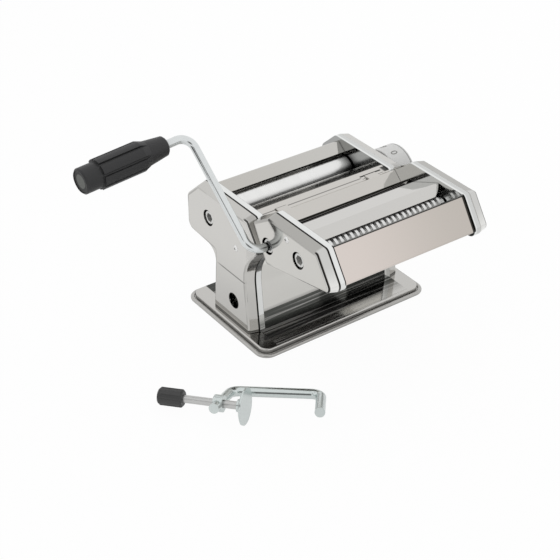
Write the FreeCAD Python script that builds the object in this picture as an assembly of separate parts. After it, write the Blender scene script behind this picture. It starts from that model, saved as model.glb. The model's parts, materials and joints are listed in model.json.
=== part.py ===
import FreeCAD, Part
import math
import os

# Hand-cranked pasta machine with its cutter unit hooked on and its table clamp lying loose.
# Millimetres. X runs along the rollers with the crank at -X, +Y is the back, +Z is up.
# The origin is under the middle of the base. Side outlines are (y, z, corner radius).

V = FreeCAD.Vector
RIGHT = 1
LEFT = -1

# Widths from the middle outwards: the rollers, the side frames next to them, then the covers
ROLLER_HALF_LENGTH = 75.5
ROLLER_SIDE_GAP = 1.5
INNER_X = ROLLER_HALF_LENGTH + ROLLER_SIDE_GAP
FRAME_SHEET = 2.0
FRAME_OUT_X = INNER_X + FRAME_SHEET
FLANGE_DEPTH = 7.0
FLANGE_X = INNER_X + FLANGE_DEPTH
FLANGE_SHEET = 1.6
COVER_DEPTH = 11.0
COVER_X = FLANGE_X + COVER_DEPTH
COVER_SHEET = 1.2
COVER_DRAFT = 2.4
COVER_EDGE = 1.4
COVER_FACE_INSET = 4.0
PLATE_SHEET = 1.0
PLATE_END_GAP = 0.1
SHARPEST_CORNER = 0.6
CUT_OVERRUN = 1.0
EDGE_PICK = 0.01

# Base tray
BASE_MARGIN_X = 10.0
BASE_HALF_X = COVER_X + BASE_MARGIN_X
BASE_HALF_Y = 70.5
BASE_CORNER_R = 14.0
BASE_BEAD_R = 2.2
BASE_SHEET = 1.2
BASE_LEDGE = 5.0
PLATEAU_Z = 8.0
PLATEAU_CORNER_R = 10.0
PLATEAU_EDGE_R = 1.5

# Main side outline
MAIN_HEAD = [
    (-52.0, 111.6, 8.0),
    (-31.3, 139.5, 4.0),
    (56.0, 139.5, 6.0),
    (78.0, 119.7, 8.0),
    (78.0, 78.0, 12.0),
    (28.3, 74.5, 11.0),
]
LEG_REAR = (28.3, 74.5)
LEG_REAR_FOOT_Y = 33.3
LEG_FRONT = (-30.0, 46.0)
LEG_FRONT_FOOT_Y = -34.3
LEG_FRONT_CORNER_R = 20.0
NECK_FRONT = (-26.1, 80.2, 45.0)
LEG_TRIM = 15.0
CLAMP_HOLE = (-5.1, 32.7)
HOLE_R = 8.6

# Cutter side outline
CUTTER_OUTLINE = [
    (-60.3, 102.9, 4.0),
    (-37.5, 143.0, 4.0),
    (-64.0, 160.0, 5.0),
    (-141.0, 160.0, 5.0),
    (-166.0, 123.7, 8.0),
]

# Smooth rollers
ROLLER_R = 15.5
REAR_AXIS = (37.3, 108.2)
GAP_WIDE = 4.4
GAP_FINE = 0.2
JOURNAL_R = 6.0
RUNNING = 0.05
BUSH_WALL = 2.45
BUSH_COLLAR = 1.2
COLLAR_OVER = 1.5
FRONT_NECK_R = 9.0
NECK_CLEARANCE = 0.8
FRONT_WALL = 2.95
FRONT_END_WALL = 1.5
INNER_BUSH_LENGTH = 14.0
MAIN_GEAR_GAP = 0.3
MAIN_GEAR_WIDTH = 6.0
MAIN_GEAR_TIP_R = 18.2
MAIN_GEAR_ROOT_R = 12.7
MAIN_TOOTH_TIP = 1.1
MAIN_TOOTH_ROOT = 2.8
GEAR_TEETH = 12
SCRAPER_GAP = 0.3
SCRAPER_HEIGHT = 13.0
SCRAPER_FOOT = 6.0
SCRAPER_SHEET = 1.2

# Crank sockets
SOCKET_R = 6.8
SOCKET_SUNK = 1.5
SOCKET_DEPTH = 12.0
SOCKET_FLATS = 8.7
CRANK_FLATS = 8.5

# Thickness regulator
SHAFT_END_SUNK = 3.5
SHAFT_JOURNAL_R = 4.0
SHAFT_RIGHT_R = 5.0
SHAFT_BUSH_R = 8.0
SHAFT_BUSH_COLLAR = 3.0
SHAFT_BOSS_R = 7.0
SHAFT_BOSS_LENGTH = 4.8
SHAFT_GAP = 0.5
FLAT_DEPTH = 1.0
PLATE_DISC_R = 20.0
PLATE_DISC_BORE_R = 7.0
PLATE_DISC_SHEET = 2.0
PIN_CIRCLE_R = 15.0
PIN_R = 1.5
PIN_SLOT_HALF = 1.7
PIN_NOTCH_R = 1.9
PIN_STEPS = 9
PIN_STAND_OFF = 0.9
KNOB_R = 28.0
KNOB_CAVITY_R = 25.0
KNOB_GAP = 0.5
KNOB_WIDTH = 24.5
KNOB_CAVITY_DEPTH = 6.5
KNOB_WEB = 3.0
KNOB_EDGE_R = 1.2
CHAMBER_R = 8.0
CAP_R = 12.0
CAP_SHEET = 2.5
RETAINER_R = 7.5
RETAINER_SHEET = 1.5
SPRING_R = 5.8
SPRING_WIRE_R = 0.5
SPRING_TURNS = 5
SPRING_END_GAP = 0.2

# Cutter rollers: the rear pair is driven by the crank, the front pair cuts wide ribbons
PAIR_DISTANCE = 20.0
REAR_CUTTER = (-64.4, 127.3)
REAR_PAIR_TILT = 14.2
FRONT_CUTTER = (-112.2, 136.3)
FRONT_PAIR_TILT = 15.4
CUTTER_R = 11.0
RING_DEPTH = 3.0
WIDE_PITCH = 6.2
NARROW_PITCH = 3.1
RING_SHARE = 0.46
RING_ROOM = 4.0
CUTTER_JOURNAL_R = 4.0
CUTTER_BUSH_R = 6.0
CUTTER_GEAR_GAP = 0.6
CUTTER_GEAR_WIDTH = 6.0
CUTTER_GEAR_TIP_R = 11.2
CUTTER_GEAR_ROOT_R = 8.3
CUTTER_TOOTH_TIP = 1.5
CUTTER_TOOTH_ROOT = 3.2
COMB_BAR = 2.5
COMB_BAR_R = 11.8
COMB_TIP_GAP = 0.6
COMB_SHARE = 0.66
COMB_DEPTH = 2.0
HOOK_FROM_FRAME = 22.5
HOOK_WIDTH = 13.0
HOOK_SHEET = 1.2
HOOK_Z = 139.2
HOOK_Y = -29.0
HOOK_DROP = 6.0
HOOK_CLEARANCE = 0.3

# Sheets between the frames, as (y, z, bend radius) along the middle of the sheet
REAR_HOPPER = [(39.6, 126.9, 0.0), (50.5, 135.5, 3.0), (70.0, 120.0, 5.0), (73.0, 95.0, 0.0)]
FRONT_HOPPER = [(3.0, 128.0, 0.0), (-21.0, 138.3, 2.5), (-33.6, 137.6, 1.5), (-34.0, 112.0, 0.0)]
LEG_PANEL = [(-31.2, 26.5, 0.0), (-27.4, 60.0, 30.0), (-27.4, 80.0, 8.0), (-22.5, 96.0, 0.0)]
CUTTER_REAR = [(-38.8, 128.0, 0.0), (-39.8, 143.0, 1.5), (-52.3, 131.6, 0.0)]
CUTTER_MIDDLE = [(-69.0, 140.7, 0.0), (-105.5, 156.4, 3.0), (-113.9, 148.6, 0.0)]
CUTTER_FRONT = [(-137.0, 157.0, 0.0), (-140.7, 158.8, 1.5), (-160.4, 129.3, 1.5), (-156.6, 126.6, 0.0)]
MIDDLE_FLAP_NARROWING = 12.7
MIDDLE_FLAP_CURVE_SHARE = 0.3

# Rods and fasteners
TIE_ROD_R = 3.0
TIE_STUB_R = 2.0
TIE_HEAD_R = 3.4
TIE_HEAD = 1.0
MAIN_TIE_RODS = [(-24.0, 104.0), (62.0, 92.0), (-20.0, 40.0)]
CUTTER_TIE_RODS = [(-98.0, 143.0), (-150.0, 132.0), (-98.0, 117.0)]
RIVET_STEM_R = 2.0
RIVET_HEAD_R = 3.5
RIVET_DOME = 1.2
RIVET_DIMPLE_R = 1.2
RIVET_DIMPLE = 0.5
MAIN_RIVET_LEFT = (-11.0, 97.5)
MAIN_RIVET_RIGHT = (48.0, 97.5)
MAIN_RIVET_REACH = 7.0
CUTTER_RIVET = (-94.6, 150.0)
SCREW_Y = 18.0
SCREW_R = 2.0
SCREW_HEAD_R = 3.6
SCREW_HEAD = 2.0
SCREW_LENGTH = 4.0

# Crank
CRANK_ARM_OUT = 18.5
CRANK_ELBOW = (37.8, 205.4)
CRANK_ROD_R = 4.25
CRANK_BEND_R = 13.0
CRANK_END_GAP = 0.5
GRIP_TILT = 5.0
GRIP_FROM = 27.5
GRIP_SMALL_R = 9.8
GRIP_TAPER_TO = 57.0
GRIP_BODY_R = 13.2
GRIP_RIDGE_R = 15.0
GRIP_RIDGES = 8
GRIP_RIDGE_WIDTH = 8.6
GRIP_RIDGE_SUNK = 1.0
GRIP_RIDGE_TO = 103.0
GRIP_COLLAR_R = 12.7
GRIP_TO = 121.5
GRIP_EDGE_R = 1.5
SPINDLE_R = 3.5
GRIP_RECESS_R = 8.0
WASHER_R = 6.0
WASHER_SHEET = 1.6
GRIP_CHAMBER = 4.8
GRIP_CAP_R = 10.8
GRIP_CAP_SHEET = 2.0
GRIP_CAP_SUNK = 0.8

# Table clamp, in its own frame: u along the bar, v along the arms
CLAMP_ROD_R = 4.85
CLAMP_BEND_R = 10.0
CLAMP_BAR_FROM = -4.0
CLAMP_BAR_TO = 80.5
CLAMP_ARM = 48.0
CLAMP_SPLAY = 14.0
CLAMP_LEFT_ARM = 50.0
EYE_AT = 35.0
EYE_R = 8.0
EYE_THICKNESS = 9.0
SCREW_SHAFT_R = 3.75
SCREW_FROM = -35.0
SCREW_TO = 23.0
PAD_R = 17.5
PAD_FACE_AT = 26.0
PAD_RIM = 1.5
PAD_DOME = 4.5
PAD_SOCKET_R = 6.0
PAD_SOCKET = 2.0
CLAMP_KNOB_R = 8.6
CLAMP_KNOB_LENGTH = 24.0
CLAMP_KNOB_CHAMFER = 1.5
CLAMP_KNOB_LOBES = 5
CLAMP_KNOB_FLUTE_R = 3.2
CLAMP_TURN = -39.03
CLAMP_PLACE = (-155.4, -97.4)
CLAMP_FLOOR_GAP = 0.3


def save(name, *solids):
    shape = solids[0] if len(solids) == 1 else Part.makeCompound(list(solids))
    shape.exportStep("parts/" + name + ".step")


def direction(a, b):
    """Unit vector in the side plane from point a to point b."""
    length = math.hypot(b[0] - a[0], b[1] - a[1])
    return ((b[0] - a[0]) / length, (b[1] - a[1]) / length)


def rounded_loop(corners, x):
    """Closed wire at X = x through (y, z, r) corners, each rounded by its own arc."""
    starts = []
    ends = []
    mids = []
    for i, (y, z, r) in enumerate(corners):
        back = direction((y, z), corners[i - 1])
        ahead = direction((y, z), corners[(i + 1) % len(corners)])
        cosine = back[0] * ahead[0] + back[1] * ahead[1]
        half = math.acos(max(-1.0, min(1.0, cosine))) / 2
        tangent = r / math.tan(half)
        starts.append(V(x, y + back[0] * tangent, z + back[1] * tangent))
        ends.append(V(x, y + ahead[0] * tangent, z + ahead[1] * tangent))
        across = math.hypot(back[0] + ahead[0], back[1] + ahead[1])
        reach = (r / math.sin(half) - r) / across
        mids.append(V(x, y + (back[0] + ahead[0]) * reach, z + (back[1] + ahead[1]) * reach))
    edges = []
    for i in range(len(corners)):
        if corners[i][2] > 0:
            edges.append(Part.Arc(starts[i], mids[i], ends[i]).toShape())
        edges.append(Part.LineSegment(ends[i], starts[(i + 1) % len(corners)]).toShape())
    return Part.Wire(edges)


def crossing(p, d, q, e):
    """Point where the line through p along d meets the line through q along e."""
    k = ((q[0] - p[0]) * e[1] - (q[1] - p[1]) * e[0]) / (d[0] * e[1] - d[1] * e[0])
    return (p[0] + d[0] * k, p[1] + d[1] * k)


def inset(corners, distance):
    """The same outline drawn in by a distance, inner corners opening and outer ones tightening."""
    count = len(corners)
    area = sum(corners[i - 1][0] * corners[i][1] - corners[i][0] * corners[i - 1][1] for i in range(count))
    turn = 1 if area > 0 else -1
    lines = []
    for i in range(count):
        d = direction(corners[i], corners[(i + 1) % count])
        lines.append(((corners[i][0] - turn * d[1] * distance, corners[i][1] + turn * d[0] * distance), d))
    moved = []
    for i in range(count):
        before = lines[i - 1]
        after = lines[i]
        y, z = crossing(before[0], before[1], after[0], after[1])
        bend = turn * (before[1][0] * after[1][1] - before[1][1] * after[1][0])
        r = corners[i][2]
        if r > 0:
            r = max(r - distance, SHARPEST_CORNER) if bend > 0 else r + distance
        moved.append((y, z, r))
    return moved


def prism(corners, x0, x1):
    return Part.Face(rounded_loop(corners, x0)).extrude(V(x1 - x0, 0, 0))


def sheet_outline(points, thickness):
    """Closed outline of a folded sheet that follows (y, z, bend radius) points."""
    half = thickness / 2
    steps = [direction(points[i], points[i + 1]) for i in range(len(points) - 1)]
    sides = []
    for side in (1, -1):
        line = []
        for i, (y, z, r) in enumerate(points):
            before = steps[max(i - 1, 0)]
            after = steps[min(i, len(steps) - 1)]
            p = (y - side * before[1] * half, z + side * before[0] * half)
            q = (y - side * after[1] * half, z + side * after[0] * half)
            bend = before[0] * after[1] - before[1] * after[0]
            if r > 0:
                p = crossing(p, before, q, after)
                r = r - side * math.copysign(half, bend)
            line.append((p[0], p[1], r))
        sides.append(line)
    return sides[0] + sides[1][::-1]


def folded_sheet(points, thickness=PLATE_SHEET, half_x=INNER_X - PLATE_END_GAP):
    return prism(sheet_outline(points, thickness), -half_x, half_x)


def rod(r, x0, x1, at):
    """Round bar along X from x0 to x1, about the (y, z) point at."""
    return Part.makeCylinder(r, abs(x1 - x0), V(min(x0, x1), at[0], at[1]), V(1, 0, 0))


def ring(r_out, r_in, x0, x1, at):
    return rod(r_out, x0, x1, at).cut(rod(r_in, x0, x1, at))


def block(x0, x1, y0, y1, z0, z1):
    return Part.makeBox(x1 - x0, y1 - y0, z1 - z0, V(x0, y0, z0))


def hexagon(flats, x0, x1, at):
    points = []
    for i in range(7):
        turn = math.radians(60 * i)
        reach = flats / math.sqrt(3)
        points.append(V(x0, at[0] + reach * math.cos(turn), at[1] + reach * math.sin(turn)))
    return Part.Face(Part.makePolygon(points)).extrude(V(x1 - x0, 0, 0))


def gear(x0, x1, at, tip_r, root_r, tip_width, root_width, bore_r, turn):
    """Straight-toothed gear; turn is the angle in degrees of its first tooth from +Y."""
    points = []
    for i in range(GEAR_TEETH):
        middle = math.radians(turn) + 2 * math.pi * i / GEAR_TEETH
        flanks = ((root_r, -root_width), (tip_r, -tip_width), (tip_r, tip_width), (root_r, root_width))
        for r, width in flanks:
            angle = middle + math.asin(width / 2 / r)
            points.append(V(x0, at[0] + r * math.cos(angle), at[1] + r * math.sin(angle)))
    points.append(points[0])
    blank = Part.Face(Part.makePolygon(points)).extrude(V(x1 - x0, 0, 0))
    return blank.cut(rod(bore_r, x0, x1, at))


def mirrored(shape):
    return shape.mirror(V(0, 0, 0), V(1, 0, 0))


def sided(shape, side):
    return shape if side == RIGHT else mirrored(shape)


def bush(side, at, bore_r, wall, collar_over):
    """Plain bush in a frame sheet with its collar outside."""
    out_x = INNER_X + FRAME_SHEET
    barrel = rod(bore_r + wall, INNER_X, out_x, at)
    collar = rod(bore_r + wall + collar_over, out_x, out_x + BUSH_COLLAR, at)
    bored = barrel.fuse(collar).cut(rod(bore_r, INNER_X, out_x + BUSH_COLLAR, at))
    return sided(bored.removeSplitter(), side)


def pair_axis(drive, tilt):
    """Axis of the idle roller in front of and below its drive roller."""
    angle = math.radians(tilt)
    return (drive[0] - PAIR_DISTANCE * math.cos(angle), drive[1] - PAIR_DISTANCE * math.sin(angle))


ECCENTRICITY = (GAP_WIDE - GAP_FINE) / 2
REGULATOR_AXIS = (REAR_AXIS[0] - 2 * ROLLER_R - GAP_FINE - ECCENTRICITY, REAR_AXIS[1])
FRONT_AXIS = (REGULATOR_AXIS[0] - ECCENTRICITY, REGULATOR_AXIS[1])
REAR_IDLE = pair_axis(REAR_CUTTER, REAR_PAIR_TILT)
FRONT_IDLE = pair_axis(FRONT_CUTTER, FRONT_PAIR_TILT)
INNER_BUSH_FROM = ROLLER_HALF_LENGTH - FRONT_END_WALL - INNER_BUSH_LENGTH
COVER_IN_X = COVER_X - COVER_SHEET
MAIN_GEAR_X = FRAME_OUT_X + BUSH_COLLAR + MAIN_GEAR_GAP
CUTTER_GEAR_X = FRAME_OUT_X + BUSH_COLLAR + CUTTER_GEAR_GAP
SOCKET_MOUTH_X = COVER_X - SOCKET_SUNK
SOCKET_X = SOCKET_MOUTH_X - SOCKET_DEPTH
KNOB_FROM_X = COVER_X + PLATE_DISC_SHEET + KNOB_GAP
KNOB_WEB_X = KNOB_FROM_X + KNOB_CAVITY_DEPTH
KNOB_TO_X = KNOB_FROM_X + KNOB_WIDTH
SHAFT_END_X = KNOB_TO_X - SHAFT_END_SUNK
HOOK_X = INNER_X - HOOK_FROM_FRAME
CRANK_ARM_X = -(COVER_X + CRANK_ARM_OUT)
MAIN_RIVETS = {LEFT: MAIN_RIVET_LEFT, RIGHT: MAIN_RIVET_RIGHT}
BUSH_BORE_R = JOURNAL_R + RUNNING
BUSH_R = BUSH_BORE_R + BUSH_WALL
NECK_HOLE_R = FRONT_NECK_R + ECCENTRICITY + NECK_CLEARANCE
CUTTER_BORE_R = CUTTER_JOURNAL_R + RUNNING
CUTTER_BUSH_WALL = CUTTER_BUSH_R - CUTTER_BORE_R
CUTTER_AXES = [REAR_CUTTER, REAR_IDLE, FRONT_CUTTER, FRONT_IDLE]


def main_outline(foot_z):
    """Side outline of the main unit with its leg ending at foot_z."""
    rear_slope = (LEG_REAR_FOOT_Y - LEG_REAR[0]) / (LEG_REAR[1] - PLATEAU_Z)
    front_slope = (LEG_FRONT_FOOT_Y - LEG_FRONT[0]) / (LEG_FRONT[1] - PLATEAU_Z)
    drop = PLATEAU_Z - foot_z
    feet = [
        (LEG_REAR_FOOT_Y + rear_slope * drop, foot_z, 0.0),
        (LEG_FRONT_FOOT_Y + front_slope * drop, foot_z, 0.0),
    ]
    return MAIN_HEAD + feet + [LEG_FRONT + (LEG_FRONT_CORNER_R,), NECK_FRONT]


def frame_pan(corners):
    """Pressed side frame: a sheet with a flange turned outward all round."""
    inside = inset(corners, FLANGE_SHEET)
    return prism(corners, INNER_X, FLANGE_X).cut(prism(inside, FRAME_OUT_X, FLANGE_X))


def cover_shell(corners):
    """Drafted, bevelled cover that seats on the frame's flange, open towards the frame."""
    edge_x = COVER_X - COVER_EDGE
    outer = [
        rounded_loop(corners, FLANGE_X),
        rounded_loop(inset(corners, COVER_DRAFT), edge_x),
        rounded_loop(inset(corners, COVER_FACE_INSET), COVER_X),
    ]
    inner = [
        rounded_loop(inset(corners, COVER_SHEET), FLANGE_X),
        rounded_loop(inset(corners, COVER_SHEET + COVER_DRAFT), COVER_IN_X),
    ]
    return Part.makeLoft(outer, True, True).cut(Part.makeLoft(inner, True, True))


def above_plateau(shape):
    box = shape.BoundBox
    box.enlarge(CUT_OVERRUN)
    return shape.common(block(box.XMin, box.XMax, box.YMin, box.YMax, PLATEAU_Z, box.ZMax))


def drilled(shape, side, holes):
    """Cut (point, radius) holes through one side wall."""
    for at, r in holes:
        shape = shape.cut(sided(rod(r, INNER_X - CUT_OVERRUN, COVER_X + CUT_OVERRUN, at), side))
    return shape


def screw_places():
    x = (FRAME_OUT_X + FLANGE_X) / 2
    return [(side * x, y) for side in (LEFT, RIGHT) for y in (-SCREW_Y, SCREW_Y)]


def rounded_slab(half_x, half_y, corner_r, z0, z1):
    slab = block(-half_x, half_x, -half_y, half_y, z0, z1)
    uprights = [e for e in slab.Edges if abs(e.tangentAt(e.FirstParameter).z) > 0.9]
    return slab.makeFillet(corner_r, uprights)


def bead(half_x, half_y, corner_r, r, z):
    """Rolled rim that follows the tray's edge, its middle line on the given rectangle."""
    straight_x = half_x - corner_r
    straight_y = half_y - corner_r
    pieces = []
    for side in (1, -1):
        pieces.append(Part.makeCylinder(r, 2 * straight_x, V(-straight_x, side * half_y, z), V(1, 0, 0)))
        pieces.append(Part.makeCylinder(r, 2 * straight_y, V(side * half_x, -straight_y, z), V(0, 1, 0)))
    for sx, sy, turn in ((1, 1, 0), (-1, 1, 90), (-1, -1, 180), (1, -1, 270)):
        corner = Part.makeTorus(corner_r, r, V(0, 0, 0), V(0, 0, 1), -180, 180, 90)
        corner.rotate(V(0, 0, 0), V(0, 0, 1), turn)
        corner.translate(V(sx * straight_x, sy * straight_y, z))
        pieces.append(corner)
    return pieces[0].multiFuse(pieces[1:])


def base_plate():
    plateau_x = BASE_HALF_X - BASE_LEDGE
    plateau_y = BASE_HALF_Y - BASE_LEDGE
    tray = rounded_slab(plateau_x, plateau_y, PLATEAU_CORNER_R, 0, PLATEAU_Z)
    top = [e for e in tray.Edges if e.BoundBox.ZMin > PLATEAU_Z - EDGE_PICK]
    tray = tray.makeFillet(PLATEAU_EDGE_R, top)
    ledge = rounded_slab(
        BASE_HALF_X - BASE_BEAD_R, BASE_HALF_Y - BASE_BEAD_R, BASE_CORNER_R - BASE_BEAD_R,
        BASE_BEAD_R - BASE_SHEET, BASE_BEAD_R,
    )
    rim = bead(
        BASE_HALF_X - BASE_BEAD_R, BASE_HALF_Y - BASE_BEAD_R, BASE_CORNER_R - BASE_BEAD_R,
        BASE_BEAD_R, BASE_BEAD_R,
    )
    hollow = rounded_slab(
        plateau_x - BASE_SHEET, plateau_y - BASE_SHEET, PLATEAU_CORNER_R - BASE_SHEET,
        -1, PLATEAU_Z - BASE_SHEET,
    )
    base = tray.fuse(ledge).fuse(rim).cut(hollow)
    for x, y in screw_places():
        base = base.cut(Part.makeCylinder(SCREW_R, PLATEAU_Z, V(x, y, 0), V(0, 0, 1)))
    return base


def base_screws():
    head_z = PLATEAU_Z - BASE_SHEET - SCREW_HEAD
    screws = []
    for x, y in screw_places():
        head = Part.makeCylinder(SCREW_HEAD_R, SCREW_HEAD, V(x, y, head_z), V(0, 0, 1))
        length = SCREW_HEAD + BASE_SHEET + SCREW_LENGTH
        screws.append(head.fuse(Part.makeCylinder(SCREW_R, length, V(x, y, head_z), V(0, 0, 1))))
    return screws


def main_frame(side):
    pan = sided(frame_pan(main_outline(PLATEAU_Z)), side)
    holes = [(REAR_AXIS, BUSH_R)] + [(at, TIE_STUB_R) for at in MAIN_TIE_RODS]
    if side == LEFT:
        holes += [(REGULATOR_AXIS, NECK_HOLE_R), (CLAMP_HOLE, HOLE_R)]
    else:
        holes += [(REGULATOR_AXIS, SHAFT_BUSH_R)]
    pan = drilled(pan, side, holes)
    for x, y in screw_places():
        pan = pan.cut(Part.makeCylinder(SCREW_R, PLATEAU_Z, V(x, y, PLATEAU_Z), V(0, 0, 1)))
    return pan


def main_cover(side):
    shell = above_plateau(cover_shell(main_outline(PLATEAU_Z - LEG_TRIM)))
    shell = sided(shell, side)
    holes = [(MAIN_RIVETS[side], RIVET_STEM_R)]
    if side == LEFT:
        boss_x = COVER_IN_X - SHAFT_BOSS_LENGTH
        boss = ring(SHAFT_BOSS_R, SHAFT_JOURNAL_R + RUNNING, boss_x, COVER_IN_X, REGULATOR_AXIS)
        shell = shell.fuse(mirrored(boss))
        holes += [(REAR_AXIS, HOLE_R), (CLAMP_HOLE, HOLE_R)]
    else:
        holes += [(REGULATOR_AXIS, SHAFT_RIGHT_R + SHAFT_GAP)]
    return drilled(shell, side, holes)


def tie_rod(at):
    """Spacer rod between the frames, its stubs riveted over outside them."""
    body = rod(TIE_ROD_R, -INNER_X, INNER_X, at)
    stub = rod(TIE_STUB_R, -FRAME_OUT_X, FRAME_OUT_X, at)
    heads = [rod(TIE_HEAD_R, s * FRAME_OUT_X, s * (FRAME_OUT_X + TIE_HEAD), at) for s in (LEFT, RIGHT)]
    return body.multiFuse([stub] + heads)


def rivet(side, at, inner_x):
    """Stud through a cover with a low domed head that has a dimple."""
    sphere_r = (RIVET_HEAD_R ** 2 + RIVET_DOME ** 2) / (2 * RIVET_DOME)
    ball = Part.makeSphere(sphere_r, V(COVER_X + RIVET_DOME - sphere_r, at[0], at[1]))
    head = ball.common(rod(RIVET_HEAD_R, COVER_X, COVER_X + RIVET_DOME, at))
    dimple = rod(RIVET_DIMPLE_R, COVER_X + RIVET_DOME - RIVET_DIMPLE, COVER_X + RIVET_DOME, at)
    stem = rod(RIVET_STEM_R, inner_x, COVER_X, at)
    return sided(stem.fuse(head).cut(dimple), side)


def roller_with_journals(r, axis, journal_r, left_x, right_x):
    body = rod(r, -ROLLER_HALF_LENGTH, ROLLER_HALF_LENGTH, axis)
    return body.fuse(rod(journal_r, left_x, right_x, axis))


def front_roller():
    """Hollow roller that turns on bushes on the eccentric shaft, with a neck out to its gear."""
    bore_r = ROLLER_R - FRONT_WALL
    gear_out_x = MAIN_GEAR_X + MAIN_GEAR_WIDTH
    inner_x = -ROLLER_HALF_LENGTH + FRONT_END_WALL
    tube = rod(ROLLER_R, -ROLLER_HALF_LENGTH, ROLLER_HALF_LENGTH, FRONT_AXIS)
    tube = tube.cut(rod(bore_r, inner_x, ROLLER_HALF_LENGTH, FRONT_AXIS))
    neck = rod(FRONT_NECK_R, -gear_out_x, -ROLLER_HALF_LENGTH, FRONT_AXIS)
    return tube.fuse(neck).cut(rod(JOURNAL_R + SHAFT_GAP, -gear_out_x, inner_x, FRONT_AXIS))


def front_bushes():
    bushes = []
    for side in (LEFT, RIGHT):
        far_x = INNER_BUSH_FROM + INNER_BUSH_LENGTH
        out_r = ROLLER_R - FRONT_WALL - RUNNING
        bushes.append(sided(ring(out_r, JOURNAL_R + RUNNING, INNER_BUSH_FROM, far_x, FRONT_AXIS), side))
    return bushes


def scraper(axis, lowest):
    """L-shaped blade under a roller, fixed between the frames."""
    top = lowest - SCRAPER_GAP
    foot = top - SCRAPER_HEIGHT
    toe = axis[0] - SCRAPER_FOOT
    points = [(axis[0], top, 0.0), (axis[0], foot, SCRAPER_SHEET), (toe, foot, 0.0)]
    return folded_sheet(points, SCRAPER_SHEET)


def regulator_shaft():
    """Shaft on the regulator axis whose middle, under the front roller, is set off centre."""
    middle_left = -(MAIN_GEAR_X + MAIN_GEAR_WIDTH + SHAFT_GAP)
    middle_right = ROLLER_HALF_LENGTH + PLATE_END_GAP
    middle = rod(JOURNAL_R, middle_left, middle_right, FRONT_AXIS)
    left = rod(SHAFT_JOURNAL_R, middle_left, -(COVER_IN_X - SHAFT_GAP), REGULATOR_AXIS)
    right = rod(SHAFT_RIGHT_R, middle_right, COVER_X + PLATE_DISC_SHEET, REGULATOR_AXIS)
    tail = rod(SHAFT_JOURNAL_R, COVER_X + PLATE_DISC_SHEET, SHAFT_END_X, REGULATOR_AXIS)
    return middle.multiFuse([left, right, tail.cut(shaft_flat(0))])


def shaft_flat(clearance):
    """Block beyond the flat of the shaft's tail."""
    y = REGULATOR_AXIS[0] + SHAFT_JOURNAL_R - FLAT_DEPTH + clearance
    z = REGULATOR_AXIS[1]
    reach = 2 * SHAFT_JOURNAL_R
    return block(COVER_X, KNOB_TO_X, y, y + reach, z - reach, z + reach)


def regulator_bush():
    barrel = rod(SHAFT_BUSH_R, INNER_X, FRAME_OUT_X, REGULATOR_AXIS)
    collar_x = FRAME_OUT_X + SHAFT_BUSH_COLLAR
    collar = rod(SHAFT_BUSH_R + COLLAR_OVER, FRAME_OUT_X, collar_x, REGULATOR_AXIS)
    return barrel.fuse(collar).cut(rod(SHAFT_RIGHT_R + RUNNING, INNER_X, collar_x, REGULATOR_AXIS))


def pin_place(step):
    """Centre of one of the regulator's stops; the first one is straight down."""
    angle = math.radians(180.0 * step / PIN_STEPS - 90)
    y = REGULATOR_AXIS[0] + PIN_CIRCLE_R * math.cos(angle)
    return (y, REGULATOR_AXIS[1] + PIN_CIRCLE_R * math.sin(angle))


def index_plate():
    """Disc on the right cover with a half-circle slot, widened at each stop."""
    x0 = COVER_X
    x1 = COVER_X + PLATE_DISC_SHEET
    y, z = REGULATOR_AXIS
    disc = ring(PLATE_DISC_R, PLATE_DISC_BORE_R, x0, x1, REGULATOR_AXIS)
    slot = ring(PIN_CIRCLE_R + PIN_SLOT_HALF, PIN_CIRCLE_R - PIN_SLOT_HALF, x0, x1, REGULATOR_AXIS)
    slot = slot.common(block(x0, x1, y, y + PLATE_DISC_R, z - PLATE_DISC_R, z + PLATE_DISC_R))
    for step in range(PIN_STEPS + 1):
        slot = slot.fuse(rod(PIN_NOTCH_R, x0, x1, pin_place(step)))
    return disc.cut(slot)


def regulator_knob():
    drum = rod(KNOB_R, KNOB_FROM_X, KNOB_TO_X, REGULATOR_AXIS)
    rims = [e for e in drum.Edges if e.Length > 6 * KNOB_R and hasattr(e.Curve, "Radius")]
    drum = drum.makeFillet(KNOB_EDGE_R, rims)
    web_out_x = KNOB_WEB_X + KNOB_WEB
    cap_x = KNOB_TO_X - CAP_SHEET
    drum = drum.cut(rod(KNOB_CAVITY_R, KNOB_FROM_X, KNOB_WEB_X, REGULATOR_AXIS))
    drum = drum.cut(rod(CHAMBER_R, web_out_x, cap_x, REGULATOR_AXIS))
    drum = drum.cut(rod(CAP_R, cap_x, KNOB_TO_X, REGULATOR_AXIS))
    bore = rod(SHAFT_JOURNAL_R + RUNNING, KNOB_WEB_X, web_out_x, REGULATOR_AXIS)
    drum = drum.cut(bore.cut(shaft_flat(RUNNING)))
    return drum.cut(rod(PIN_R, KNOB_WEB_X, web_out_x, pin_place(0)))


def regulator_spring():
    """Coil that presses the knob towards the index plate."""
    seat = SPRING_WIRE_R + SPRING_END_GAP
    x0 = KNOB_WEB_X + KNOB_WEB + seat
    x1 = SHAFT_END_X - RETAINER_SHEET - seat
    height = x1 - x0
    path = Part.makeHelix(height / SPRING_TURNS, height, SPRING_R)
    profile = Part.Wire(Part.Circle(V(SPRING_R, 0, 0), V(0, 1, 0), SPRING_WIRE_R).toShape())
    coil = Part.Wire(path).makePipeShell([profile], True, True)
    coil.rotate(V(0, 0, 0), V(0, 1, 0), 90)
    coil.translate(V(x0, REGULATOR_AXIS[0], REGULATOR_AXIS[1]))
    gap = height / SPRING_TURNS - 2 * SPRING_WIRE_R
    print("spring: least gap between turns", round(gap, 2))
    return coil


def ring_places(pitch, idle):
    """Middles of a cutter roller's rings; an idle roller's lie half way between its partner's."""
    count = int((2 * ROLLER_HALF_LENGTH - RING_ROOM) / pitch)
    if idle:
        count -= 1
    return [(i - (count - 1) / 2) * pitch for i in range(count)]


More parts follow.
